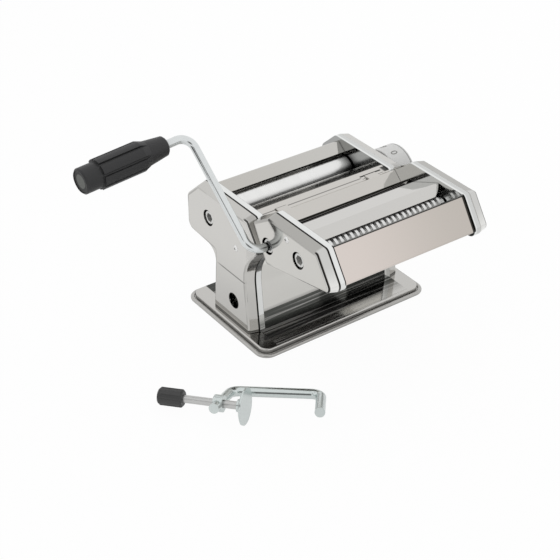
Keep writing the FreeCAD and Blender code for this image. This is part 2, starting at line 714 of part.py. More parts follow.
def cutter_roller(axis, pitch, idle, left_x, right_x):
    """Roller turned from one bar: journals, core and cutting rings."""
    half_ring = pitch * RING_SHARE / 2
    core_r = CUTTER_R - RING_DEPTH
    points = [V(left_x, 0, 0), V(left_x, CUTTER_JOURNAL_R, 0)]
    points += [V(-ROLLER_HALF_LENGTH, CUTTER_JOURNAL_R, 0), V(-ROLLER_HALF_LENGTH, core_r, 0)]
    for x in ring_places(pitch, idle):
        points += [V(x - half_ring, core_r, 0), V(x - half_ring, CUTTER_R, 0)]
        points += [V(x + half_ring, CUTTER_R, 0), V(x + half_ring, core_r, 0)]
    points += [V(ROLLER_HALF_LENGTH, core_r, 0), V(ROLLER_HALF_LENGTH, CUTTER_JOURNAL_R, 0)]
    points += [V(right_x, CUTTER_JOURNAL_R, 0), V(right_x, 0, 0), points[0]]
    turned = Part.Face(Part.makePolygon(points)).revolve(V(0, 0, 0), V(1, 0, 0), 360)
    turned.translate(V(0, axis[0], axis[1]))
    return turned


def comb(axis, pitch, idle, tilt):
    """Bar under a cutter roller with a finger in each groove, square to the pair's centre line."""
    root = COMB_BAR_R
    finger_tip = CUTTER_R - RING_DEPTH + COMB_TIP_GAP
    half_x = INNER_X - PLATE_END_GAP
    half_finger = pitch * (1 - RING_SHARE) * COMB_SHARE / 2
    bar = block(-half_x, half_x, -COMB_DEPTH / 2, COMB_DEPTH / 2, -root - COMB_BAR, -root)
    places = ring_places(pitch, idle)
    fingers = []
    for x in [p + pitch / 2 for p in places[:-1]]:
        x0 = x - half_finger
        x1 = x + half_finger
        fingers.append(block(x0, x1, -COMB_DEPTH / 2, COMB_DEPTH / 2, -root - COMB_BAR, -finger_tip))
    shape = bar.multiFuse(fingers).removeSplitter()
    shape.rotate(V(0, 0, 0), V(1, 0, 0), tilt)
    shape.translate(V(0, axis[0], axis[1]))
    return shape


def socket(axis, inner_x):
    """Crank socket on the left: a tube with a hexagonal bore, mouth at -X."""
    bore = hexagon(SOCKET_FLATS, -SOCKET_MOUTH_X, -inner_x, axis)
    return rod(SOCKET_R, -SOCKET_MOUTH_X, -inner_x, axis).cut(bore)


def cutter_gear(axis, turn):
    return gear(
        CUTTER_GEAR_X, CUTTER_GEAR_X + CUTTER_GEAR_WIDTH, axis, CUTTER_GEAR_TIP_R, CUTTER_GEAR_ROOT_R,
        CUTTER_TOOTH_TIP, CUTTER_TOOTH_ROOT, CUTTER_JOURNAL_R, turn,
    )


def main_gear(axis, bore_r, turn):
    return gear(
        -MAIN_GEAR_X - MAIN_GEAR_WIDTH, -MAIN_GEAR_X, axis, MAIN_GEAR_TIP_R, MAIN_GEAR_ROOT_R,
        MAIN_TOOTH_TIP, MAIN_TOOTH_ROOT, bore_r, turn,
    )


def cutter_frame(side):
    pan = sided(frame_pan(CUTTER_OUTLINE), side)
    holes = [(at, CUTTER_BUSH_R) for at in CUTTER_AXES] + [(at, TIE_STUB_R) for at in CUTTER_TIE_RODS]
    return drilled(pan, side, holes)


def cutter_cover(side):
    shell = sided(cover_shell(CUTTER_OUTLINE), side)
    holes = [(CUTTER_RIVET, RIVET_STEM_R)]
    if side == LEFT:
        holes += [(REAR_CUTTER, HOLE_R), (FRONT_CUTTER, HOLE_R)]
    return drilled(shell, side, holes)


def hook_section():
    """Hook over the front of the main unit, as a folded strip."""
    start = (CUTTER_REAR[1][0] - HOOK_SHEET, HOOK_Z, 0.0)
    return [start, (HOOK_Y, HOOK_Z, HOOK_SHEET), (HOOK_Y, HOOK_Z - HOOK_DROP, 0.0)]


def cutter_rear_plate():
    plate = folded_sheet(CUTTER_REAR)
    for side in (LEFT, RIGHT):
        x0 = side * HOOK_X - HOOK_WIDTH / 2
        hook = prism(sheet_outline(hook_section(), HOOK_SHEET), x0, x0 + HOOK_WIDTH)
        plate = plate.fuse(hook)
    return plate


def front_hopper_plate():
    """Front dough guide, with a slot for each of the cutter unit's hooks."""
    plate = folded_sheet(FRONT_HOPPER)
    reach = HOOK_SHEET / 2 + HOOK_CLEARANCE
    for side in (LEFT, RIGHT):
        x0 = side * HOOK_X - HOOK_WIDTH / 2 - HOOK_CLEARANCE
        x1 = x0 + HOOK_WIDTH + 2 * HOOK_CLEARANCE
        low = FRONT_HOPPER[2][1] - 2 * PLATE_SHEET
        plate = plate.cut(block(x0, x1, HOOK_Y - reach, HOOK_Y + reach, low, HOOK_Z))
    return plate


def cutter_middle_plate():
    """Roof between the two cutter slots; its front flap narrows towards the edge."""
    plate = folded_sheet(CUTTER_MIDDLE)
    crest = CUTTER_MIDDLE[1]
    edge = CUTTER_MIDDLE[2]
    half_x = INNER_X - PLATE_END_GAP
    for side in (LEFT, RIGHT):
        start = V(side * half_x, crest[0], 0)
        drawn_in = MIDDLE_FLAP_NARROWING * MIDDLE_FLAP_CURVE_SHARE
        bulge = V(side * (half_x - drawn_in), (crest[0] + edge[0]) / 2, 0)
        tip = V(side * (half_x - MIDDLE_FLAP_NARROWING), edge[0] - PLATE_SHEET, 0)
        corner = V(side * (half_x + PLATE_SHEET), edge[0] - PLATE_SHEET, 0)
        shoulder = V(side * (half_x + PLATE_SHEET), crest[0], 0)
        edges = [
            Part.Arc(start, bulge, tip).toShape(),
            Part.LineSegment(tip, corner).toShape(),
            Part.LineSegment(corner, shoulder).toShape(),
            Part.LineSegment(shoulder, start).toShape(),
        ]
        plate = plate.cut(Part.Face(Part.Wire(edges)).extrude(V(0, 0, crest[1] + 2 * PLATE_SHEET)))
    return plate


def bent_rod(points, r, bend_r):
    """Round bar along straight runs joined by tangent arcs of one radius."""
    edges = []
    start = points[0]
    for i in range(1, len(points) - 1):
        back = (points[i - 1] - points[i]).normalize()
        ahead = (points[i + 1] - points[i]).normalize()
        half = back.getAngle(ahead) / 2
        tangent = bend_r / math.tan(half)
        middle = (back + ahead).normalize() * (bend_r / math.sin(half) - bend_r)
        first = points[i] + back * tangent
        last = points[i] + ahead * tangent
        edges.append(Part.LineSegment(start, first).toShape())
        edges.append(Part.Arc(first, points[i] + middle, last).toShape())
        start = last
    edges.append(Part.LineSegment(start, points[-1]).toShape())
    profile = Part.Wire(Part.Circle(points[0], points[1] - points[0], r).toShape())
    return Part.Wire(edges).makePipeShell([profile], True, False)


def elbow():
    return V(CRANK_ARM_X, CRANK_ELBOW[0], CRANK_ELBOW[1])


def grip_direction():
    """Along the grip, away from the arm and leaning a little towards the crank's axis."""
    arm = V(0, CRANK_ELBOW[0] - REAR_CUTTER[0], CRANK_ELBOW[1] - REAR_CUTTER[1]).normalize()
    lean = math.radians(GRIP_TILT)
    return V(-math.cos(lean), 0, 0) - arm * math.sin(lean)


def along_grip(t):
    return elbow() + grip_direction() * t


def crank_rod():
    drive_x = -SOCKET_X - CRANK_END_GAP
    shoulder_x = -SOCKET_MOUTH_X - CRANK_END_GAP
    corner = V(CRANK_ARM_X, REAR_CUTTER[0], REAR_CUTTER[1])
    start = V(shoulder_x, REAR_CUTTER[0], REAR_CUTTER[1])
    bent = bent_rod([start, corner, elbow(), along_grip(GRIP_FROM)], CRANK_ROD_R, CRANK_BEND_R)
    end = hexagon(CRANK_FLATS, shoulder_x, drive_x, REAR_CUTTER)
    washer_t = grip_recess_t() + RUNNING + WASHER_SHEET
    spindle = Part.makeCylinder(SPINDLE_R, washer_t - GRIP_FROM, along_grip(GRIP_FROM), grip_direction())
    return bent.fuse(end).fuse(spindle)


def grip_recess_t():
    """Where the washer's recess in the grip's outer end begins."""
    return GRIP_TO - GRIP_CAP_SUNK - GRIP_CAP_SHEET - GRIP_CHAMBER


def grip_bar(r, t0, t1):
    return Part.makeCylinder(r, t1 - t0, along_grip(t0), grip_direction())


def in_grip_frame(shape):
    """Place a shape built along Z from the elbow onto the grip's axis."""
    turn = FreeCAD.Rotation(V(0, 0, 1), grip_direction())
    shape.Placement = FreeCAD.Placement(elbow(), turn)
    return shape


def crank_grip():
    """Moulded grip: a taper, long raised ridges and a plain collar at the outer end."""
    t0 = GRIP_FROM + PLATE_END_GAP
    profile = [
        V(0, 0, t0),
        V(GRIP_SMALL_R - GRIP_EDGE_R, 0, t0),
        V(GRIP_SMALL_R, 0, t0 + GRIP_EDGE_R),
        V(GRIP_BODY_R, 0, GRIP_TAPER_TO),
        V(GRIP_BODY_R, 0, GRIP_RIDGE_TO),
        V(GRIP_COLLAR_R, 0, GRIP_RIDGE_TO),
        V(GRIP_COLLAR_R, 0, GRIP_TO - GRIP_EDGE_R),
        V(GRIP_COLLAR_R - GRIP_EDGE_R, 0, GRIP_TO),
        V(0, 0, GRIP_TO),
        V(0, 0, t0),
    ]
    body = Part.Face(Part.makePolygon(profile)).revolve(V(0, 0, 0), V(0, 0, 1), 360)
    length = GRIP_RIDGE_TO - GRIP_TAPER_TO
    cone_length = (GRIP_TAPER_TO - t0) * (GRIP_RIDGE_R - GRIP_BODY_R) / (GRIP_BODY_R - GRIP_SMALL_R)
    ramp = cone_length / 2
    start_r = GRIP_BODY_R - GRIP_RIDGE_SUNK
    hull = Part.makeCylinder(GRIP_RIDGE_R, length, V(0, 0, GRIP_TAPER_TO), V(0, 0, 1))
    hull = hull.fuse(Part.makeCone(start_r, GRIP_RIDGE_R, ramp, V(0, 0, GRIP_TAPER_TO - ramp), V(0, 0, 1)))
    ridges = []
    for i in range(GRIP_RIDGES):
        bar = block(
            0, 2 * GRIP_RIDGE_R, -GRIP_RIDGE_WIDTH / 2, GRIP_RIDGE_WIDTH / 2,
            GRIP_TAPER_TO - cone_length, GRIP_RIDGE_TO,
        )
        bar.rotate(V(0, 0, 0), V(0, 0, 1), 360.0 * i / GRIP_RIDGES)
        ridges.append(bar.common(hull))
    body = body.multiFuse(ridges)
    body = body.cut(Part.makeCylinder(SPINDLE_R + RUNNING, GRIP_TO, V(0, 0, 0), V(0, 0, 1)))
    recess_t = grip_recess_t()
    body = body.cut(Part.makeCylinder(GRIP_RECESS_R, GRIP_TO, V(0, 0, recess_t), V(0, 0, 1)))
    cap_t = GRIP_TO - GRIP_CAP_SUNK - GRIP_CAP_SHEET
    body = body.cut(Part.makeCylinder(GRIP_CAP_R, GRIP_TO, V(0, 0, cap_t), V(0, 0, 1)))
    return in_grip_frame(body)


def grip_washer():
    t0 = grip_recess_t() + RUNNING
    washer = grip_bar(WASHER_R, t0, t0 + WASHER_SHEET)
    return washer.cut(grip_bar(SPINDLE_R, t0, t0 + WASHER_SHEET))


def grip_cap():
    t0 = GRIP_TO - GRIP_CAP_SUNK - GRIP_CAP_SHEET
    return grip_bar(GRIP_CAP_R, t0, t0 + GRIP_CAP_SHEET)


def screw_line():
    """The clamp screw's direction in the clamp's own frame, square to the splayed arm."""
    splay = math.radians(CLAMP_SPLAY)
    return V(math.cos(splay), -math.sin(splay), 0)


def eye():
    """Middle of the screw's eye in the splayed arm."""
    splay = math.radians(CLAMP_SPLAY)
    return V(CLAMP_BAR_FROM - EYE_AT * math.sin(splay), -EYE_AT * math.cos(splay), 0)


def on_screw(q):
    return eye() + screw_line() * q


def screw_bar(r, q0, q1):
    return Part.makeCylinder(r, q1 - q0, on_screw(q0), screw_line())


def clamp_placement():
    """Lying a hair above the table, level with the bar and the pad's rim."""
    pad_v = -on_screw(PAD_FACE_AT).y
    tilt = math.degrees(math.asin((PAD_R - CLAMP_ROD_R) / pad_v))
    tip = FreeCAD.Rotation(V(1, 0, 0), -tilt)
    turn = FreeCAD.Rotation(V(0, 0, 1), CLAMP_TURN)
    middle_z = CLAMP_ROD_R + CLAMP_FLOOR_GAP
    return FreeCAD.Placement(V(CLAMP_PLACE[0], CLAMP_PLACE[1], middle_z), turn * tip)


def laid(shape):
    shape.Placement = clamp_placement()
    return shape


def clamp_frame():
    splay = math.radians(CLAMP_SPLAY)
    left = V(CLAMP_BAR_FROM - CLAMP_LEFT_ARM * math.sin(splay), -CLAMP_LEFT_ARM * math.cos(splay), 0)
    corners = [left, V(CLAMP_BAR_FROM, 0, 0), V(CLAMP_BAR_TO, 0, 0), V(CLAMP_BAR_TO, -CLAMP_ARM, 0)]
    bar = bent_rod(corners, CLAMP_ROD_R, CLAMP_BEND_R)
    boss = screw_bar(EYE_R, -EYE_THICKNESS / 2, EYE_THICKNESS / 2)
    return laid(bar.fuse(boss).cut(screw_bar(SCREW_SHAFT_R + RUNNING, -EYE_THICKNESS, EYE_THICKNESS)))


def clamp_pad():
    """Dished pad with a domed back and a socket for the screw's tip."""
    back = PAD_FACE_AT - PAD_RIM
    sphere_r = (PAD_R ** 2 + PAD_DOME ** 2) / (2 * PAD_DOME)
    ball = Part.makeSphere(sphere_r, on_screw(back - PAD_DOME + sphere_r))
    dome = ball.common(screw_bar(PAD_R, back - PAD_DOME, back))
    pad = screw_bar(PAD_R, back, PAD_FACE_AT).fuse(dome)
    pad = pad.fuse(screw_bar(PAD_SOCKET_R, back - PAD_DOME - PAD_SOCKET, back))
    return laid(pad.cut(screw_bar(SCREW_SHAFT_R + RUNNING, SCREW_FROM, SCREW_TO + RUNNING)))


def clamp_knob():
    """Lobed knob at the outer end of the clamp screw."""
    q0 = SCREW_FROM - CLAMP_KNOB_LENGTH
    knob = screw_bar(CLAMP_KNOB_R, q0, SCREW_FROM)
    knob = knob.makeChamfer(CLAMP_KNOB_CHAMFER, [e for e in knob.Edges if hasattr(e.Curve, "Radius")])
    across = V(0, 0, 1)
    beside = screw_line().cross(across)
    for i in range(CLAMP_KNOB_LOBES):
        angle = 2 * math.pi * i / CLAMP_KNOB_LOBES
        out = (across * math.cos(angle) + beside * math.sin(angle)) * (CLAMP_KNOB_R + CLAMP_KNOB_FLUTE_R / 2)
        start = on_screw(q0) + out
        knob = knob.cut(Part.makeCylinder(CLAMP_KNOB_FLUTE_R, CLAMP_KNOB_LENGTH, start, screw_line()))
    hole = screw_bar(SCREW_SHAFT_R, SCREW_FROM - CLAMP_KNOB_LENGTH / 2, SCREW_FROM)
    return laid(knob.cut(hole))


def clamp_screw():
    return laid(screw_bar(SCREW_SHAFT_R, SCREW_FROM - CLAMP_KNOB_LENGTH / 2, SCREW_TO))


def save_main_unit():
    save("base_plate", base_plate())
    save("base_screws", *base_screws())
    save("main_frame_left", main_frame(LEFT))
    save("main_frame_right", main_frame(RIGHT))
    save("main_cover_left", main_cover(LEFT))
    save("main_cover_right", main_cover(RIGHT))
    save("main_tie_rods", *[tie_rod(at) for at in MAIN_TIE_RODS])
    save("main_cover_rivets", *[rivet(s, MAIN_RIVETS[s], COVER_X - MAIN_RIVET_REACH) for s in (LEFT, RIGHT)])
    save("rear_hopper_plate", folded_sheet(REAR_HOPPER))
    save("front_hopper_plate", front_hopper_plate())
    save("leg_panel", folded_sheet(LEG_PANEL))
    save("rear_scraper", scraper(REAR_AXIS, REAR_AXIS[1] - ROLLER_R))
    save("front_scraper", scraper(REGULATOR_AXIS, REGULATOR_AXIS[1] - ECCENTRICITY - ROLLER_R))


def save_smooth_rollers():
    gear_out_x = MAIN_GEAR_X + MAIN_GEAR_WIDTH
    right_x = FRAME_OUT_X + BUSH_COLLAR + SHAFT_GAP
    save("rear_roller", roller_with_journals(ROLLER_R, REAR_AXIS, JOURNAL_R, -gear_out_x, right_x))
    bushes = [bush(s, REAR_AXIS, BUSH_BORE_R, BUSH_WALL, COLLAR_OVER) for s in (LEFT, RIGHT)]
    save("rear_roller_bushes", *bushes)
    save("rear_roller_gear", main_gear(REAR_AXIS, JOURNAL_R, 0))
    save("main_drive_socket", socket(REAR_AXIS, gear_out_x))
    save("front_roller", front_roller())
    save("front_roller_gear", main_gear(FRONT_AXIS, FRONT_NECK_R, 180.0 / GEAR_TEETH))
    save("front_roller_bushes", *front_bushes())


def save_regulator():
    x0 = SHAFT_END_X - RETAINER_SHEET
    retainer = rod(RETAINER_R, x0, SHAFT_END_X, REGULATOR_AXIS).cut(
        rod(SHAFT_JOURNAL_R, x0, SHAFT_END_X, REGULATOR_AXIS).cut(shaft_flat(0))
    )
    save("regulator_shaft", regulator_shaft())
    save("regulator_bush", regulator_bush())
    save("index_plate", index_plate())
    save("regulator_knob", regulator_knob())
    save("index_pin", rod(PIN_R, COVER_X + PIN_STAND_OFF, KNOB_WEB_X + KNOB_WEB, pin_place(0)))
    save("regulator_spring", regulator_spring())
    save("regulator_retainer", retainer)
    save("regulator_cap", rod(CAP_R, KNOB_TO_X - CAP_SHEET, KNOB_TO_X, REGULATOR_AXIS))


def save_cutter_unit():
    save("cutter_frame_left", cutter_frame(LEFT))
    save("cutter_frame_right", cutter_frame(RIGHT))
    save("cutter_cover_left", cutter_cover(LEFT))
    save("cutter_cover_right", cutter_cover(RIGHT))
    save("cutter_cover_rivets", *[rivet(s, CUTTER_RIVET, FRAME_OUT_X) for s in (LEFT, RIGHT)])
    save("cutter_tie_rods", *[tie_rod(at) for at in CUTTER_TIE_RODS])
    save("cutter_rear_plate", cutter_rear_plate())
    save("cutter_middle_plate", cutter_middle_plate())
    save("cutter_front_plate", folded_sheet(CUTTER_FRONT))
    bushes = []
    for at in CUTTER_AXES:
        bushes += [bush(s, at, CUTTER_BORE_R, CUTTER_BUSH_WALL, COLLAR_OVER) for s in (LEFT, RIGHT)]
    save("cutter_bushes", *bushes)


def save_cutter_pair(name, drive, tilt, pitch):
    idle = pair_axis(drive, tilt)
    gear_end_x = CUTTER_GEAR_X + CUTTER_GEAR_WIDTH
    idle_left_x = -(FRAME_OUT_X + BUSH_COLLAR)
    save(name + "_cutter_drive_roller", cutter_roller(drive, pitch, False, -SOCKET_X, gear_end_x))
    save(name + "_cutter_idle_roller", cutter_roller(idle, pitch, True, idle_left_x, gear_end_x))
    save(name + "_cutter_drive_gear", cutter_gear(drive, tilt))
    save(name + "_cutter_idle_gear", cutter_gear(idle, tilt + 180.0 / GEAR_TEETH))
    save(name + "_cutter_socket", socket(drive, SOCKET_X))
    save(name + "_cutter_combs", comb(drive, pitch, False, tilt), comb(idle, pitch, True, tilt))


def save_crank():
    save("crank_rod", crank_rod())
    save("crank_grip", crank_grip())
    save("grip_washer", grip_washer())
    save("grip_cap", grip_cap())


def save_clamp():
    save("clamp_frame", clamp_frame())
    save("clamp_screw", clamp_screw())
    save("clamp_knob", clamp_knob())
    save("clamp_pad", clamp_pad())


os.makedirs("parts", exist_ok=True)
save_main_unit()
save_smooth_rollers()
save_regulator()
save_cutter_unit()
save_cutter_pair("rear", REAR_CUTTER, REAR_PAIR_TILT, NARROW_PITCH)
save_cutter_pair("front", FRONT_CUTTER, FRONT_PAIR_TILT, WIDE_PITCH)
save_crank()
save_clamp()
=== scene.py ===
"""Looks of a hand-cranked pasta machine: its finishes, knob spring, dial figures, stage and camera.

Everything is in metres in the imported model's frame: X along the rollers with the crank at -X,
+Y to the back and +Z up, with the origin under the middle of the base.
"""

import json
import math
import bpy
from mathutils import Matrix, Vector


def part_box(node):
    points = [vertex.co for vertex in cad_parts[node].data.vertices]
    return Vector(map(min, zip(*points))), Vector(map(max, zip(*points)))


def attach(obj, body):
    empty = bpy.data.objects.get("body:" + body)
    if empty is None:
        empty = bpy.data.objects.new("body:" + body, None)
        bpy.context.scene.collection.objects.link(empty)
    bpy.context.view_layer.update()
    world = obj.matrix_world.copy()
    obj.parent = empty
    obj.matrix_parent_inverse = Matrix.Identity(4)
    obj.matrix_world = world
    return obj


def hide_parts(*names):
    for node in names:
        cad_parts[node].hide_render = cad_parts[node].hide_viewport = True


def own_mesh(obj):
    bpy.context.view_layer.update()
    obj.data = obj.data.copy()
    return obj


bl_info = {
    "name": "Pasta machine",
    "version": (1, 0, 0),
    "blender": (4, 5, 0),
    "location": "View3D > Sidebar > Pasta machine",
    "description": "Finishes, knob spring, dial figures, stage and camera of a hand-cranked pasta machine",
    "category": "Object",
}

import bmesh
import bpy
from mathutils import Matrix, Vector

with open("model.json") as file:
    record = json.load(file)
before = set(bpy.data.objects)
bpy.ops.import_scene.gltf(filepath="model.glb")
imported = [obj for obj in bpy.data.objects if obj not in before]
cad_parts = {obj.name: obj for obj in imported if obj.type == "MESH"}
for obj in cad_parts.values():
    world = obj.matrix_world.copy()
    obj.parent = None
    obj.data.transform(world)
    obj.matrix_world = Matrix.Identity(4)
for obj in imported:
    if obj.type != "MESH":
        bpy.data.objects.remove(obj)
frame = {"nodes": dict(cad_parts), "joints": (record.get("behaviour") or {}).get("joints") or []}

JOINTS = {joint["name"]: joint for joint in frame["joints"]}
PICTURE_SIDE = 560
FOCAL_PIXELS = 1372.0
SENSOR_WIDTH = 36.0
FIGURES = 10
SPRING_STEPS = 16
WIRE_CORNERS = 10

# Distances of the frames' inner walls, the covers' seams and the covers' faces from the middle
FRAME_INNER_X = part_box("main_frame_right")[0].x
SEAM_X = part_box("main_cover_right")[0].x
COVER_FACE_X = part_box("main_cover_right")[1].x

# Side outlines of the covers as (y, z) corners, with the neck's arc as three short runs
MAIN_OUTLINE = [
    (-0.0520, 0.1116),
    (-0.0313, 0.1395),
    (0.0560, 0.1395),
    (0.0780, 0.1197),
    (0.0780, 0.0780),
    (0.0283, 0.0745),
    (0.0333, 0.0080),
    (-0.0343, 0.0080),
    (-0.0300, 0.0460),
    (-0.0280, 0.0640),
    (-0.0286, 0.0740),
    (-0.0315, 0.0835),
]
CUTTER_OUTLINE = [
    (-0.0603, 0.1029),
    (-0.0375, 0.1430),
    (-0.0640, 0.1600),
    (-0.1410, 0.1600),
    (-0.1660, 0.1237),
]

# Places of the marks on the sheets, mostly painted shade and painted highlights; a pair is the start and end
# of a soft run from 0 to 1
SIDE_CHANGE_X = (-0.01, 0.01)
MAIN_FRONT_Y = -0.0245
MAIN_TOP_Z = 0.100
CUTTER_FRONT_Y = -0.136
CUTTER_TOP_Z = 0.119
COVER_FACE_RUN_X = (COVER_FACE_X - 0.0010, COVER_FACE_X - 0.0004)
LEG_CREASE_Z = 0.064
LEG_FRONT_Y = (-0.030, -0.024)
LEG_REAR_Y = (0.012, 0.028)
LEG_SHADE_Z = (0.02, 0.10)
COVER_FOOT_Z = 0.0092
NECK_Z = 0.092
NECK_FRONT_Y = (-0.0295, -0.0285)
NECK_SHADE_Z = (0.086, 0.104)
RIM_WALL_X = (FRAME_INNER_X + 0.0001, FRAME_INNER_X + 0.0004)
RIM_STRIP_X = (FRAME_INNER_X + 0.0009, FRAME_INNER_X + 0.0014)
RIM_FACE_X = (FRAME_INNER_X + 0.0022, FRAME_INNER_X + 0.0028)
MIDDLE_REAR_Y = (-0.0706, -0.0698)
MIDDLE_CREST_Y = -0.1055
REAR_PLATE_LIP_Y = (-0.0514, -0.0510)
FRONT_PLATE_LIP_Y = (-0.1412, -0.1408)
FRONT_PLATE_END_X = (0.0742, 0.0750)
SLOPE_FRONT_Y = (-0.0195, -0.0175)
SLOPE_REAR_Y = (-0.009, -0.001)
HOOK_LINE_Y = -0.030
LEFT_HOOK_X = (-0.050, -0.048)
RIGHT_HOOK_X = (0.042, 0.044)
HOOK_STEP_X = 0.0488
HOOK_STEP_Y = -0.0315
HOOK_STEP_Z = (0.1387, 0.1389)
HOOK_SLOT_X = 0.0565
HOOK_SLOT_REAR_Y = -0.0276
HOOK_SLOT_FRONT_Y = -0.0322
NOTCH_X = (0.0700, 0.0730)
NOTCH_Y = -0.0280
PANEL_FOOT_Z = (0.027, 0.031)
TRAY_TOP_Z = (0.0073, 0.0075)
TRAY_WALL_Z = (0.0015, 0.0042)
TRAY_BEAD_Z = (0.0050, 0.0065)
TRAY_GROOVE_Z = (0.0058, 0.0072)
TRAY_MIDDLE_X = (0.083, 0.084)
TRAY_SHADE_Y = (-0.062, -0.036)

# Way that the front plate faces, in (y, z), and the distance along it where the painted shade strip before
# it starts
FRONT_PLATE_WAY = (-0.82, 0.57)
FRONT_STRIP_REACH = 0.2050

# Shares of painted shade and painted dark reflections in the marks, from 0 for none to 1 for black; a loss
# is the share taken off one
FAR_SEAM_LOSS = 0.88
BEND_DARK = 0.08
COVER_CREASE_DARK = 0.35
COVER_CREASE_LOSS = 0.2
LEG_CREASE_DARK = 0.7
COVER_FOOT_DARK = 0.85
LEG_SHADE_DARK = 0.15
RIGHT_RIM_DARK = 0.22
PLATE_END_DARK = 0.95
SLOPE_DARK = 0.97
HOOK_LINE_DARK = 0.6
HOOK_SLOT_DARK = 0.95
NOTCH_DARK = 0.93
PANEL_FOOT_DARK = 0.3
TRAY_SHADE_DARK = 0.97
TRAY_WALL_DARK = 0.6
TRAY_BEAD_DARK = 0.2

# Shares of dullness, from 0 for a mirror to 1, and the share of the metal look that is lost at 1
NECK_DULL = (0.3, 0.8)
STREAK_DULL = 0.6
GROOVE_DULL = 0.6
DULL_METAL_LOSS = 0.7

# Polished sheets: radius of softened edges, openness over which a corner's painted shade fades out, waves
# of each noise in a metre, and the values of noise between which patches and streaks come in
SHEET_EDGE = 0.0006
SHEET_OPEN_SHARE = (0.15, 0.75)
SMUDGE_SCALE = 45.0
WAVE_SCALE = 16.0
PATCH_SCALE = 22.0
PATCH_NOISE = (0.35, 0.6)
STREAK_SCALE = 360.0
STREAK_STRETCH = (0.02, 1, 1)
STREAK_NOISE = (0.50, 0.66)

# Other metals: radius of softened edges, colour of the painted shade in corners, the grain's darkest factor
# on the tint and the roughness that it adds, and the stretches that draw it out along X or around it
METAL_EDGE = 0.0004
METAL_PAINTED_SHADE_TINT = (0.02, 0.02, 0.02)
METAL_GRAIN_SHADE = 0.9
METAL_GRAIN_BLUR = 0.12
ALONG_X = (0.05, 1, 1)
AROUND_X = (1, 0.05, 0.05)

# Plastics: radius of softened edges, the grain's waves in a metre, its depth, its darkest factor on
# the tint and the roughness that it adds, and the tint's factors in rings and on a disc
PLASTIC_EDGE = 0.0006
PLASTIC_GRAIN = 900.0
PLASTIC_GRAIN_DEPTH = 0.00004
PLASTIC_GRAIN_SHADE = 0.92
PLASTIC_GRAIN_BLUR = 0.1
RING_SHADE = 0.45
DISC_SHADE = 4.5
DISC_RING_SHADE = 0.3
DISC_RING_GAP = 0.0008

# Stage: lamps by their way and distance from the machine's middle, and shares of white in the
# paper and the sky, as lit, as the camera sees them and as shiny pieces mirror them
MACHINE_MIDDLE = Vector((0.0, -0.03, 0.08))
LAMP_DISTANCE = 1.5
LAMP_SIDE = 1.2
KEY_WAY = Vector((0.5, 0.3, 0.81))
FILL_WAY = Vector((-0.6, -0.2, 0.77))
WHITE = (1.0, 1.0, 1.0)
PAPER_TINT = (0.9, 0.9, 0.9)
PAPER_SEEN = 0.96
PAPER_MIRRORED = 0.6
SKY_LIGHT = 0.6
SKY_SEEN = 0.4
SKY_MIRRORED = 0.36
DARK_DEPTH = 0.8
STREAK_DEPTH = 0.75


class Wire:
    """A shader output that takes part in Python sums, each of which adds its Math node."""

    def __init__(self, shader, socket):
        self.shader = shader
        self.socket = socket

    def __add__(self, other):
        return self.shader.math("ADD", self, other)

    __radd__ = __add__

    def __sub__(self, other):
        return self.shader.math("SUBTRACT", self, other)

    def __rsub__(self, other):
        return self.shader.math("SUBTRACT", other, self)

    def __mul__(self, other):
        return self.shader.math("MULTIPLY", self, other)

    __rmul__ = __mul__


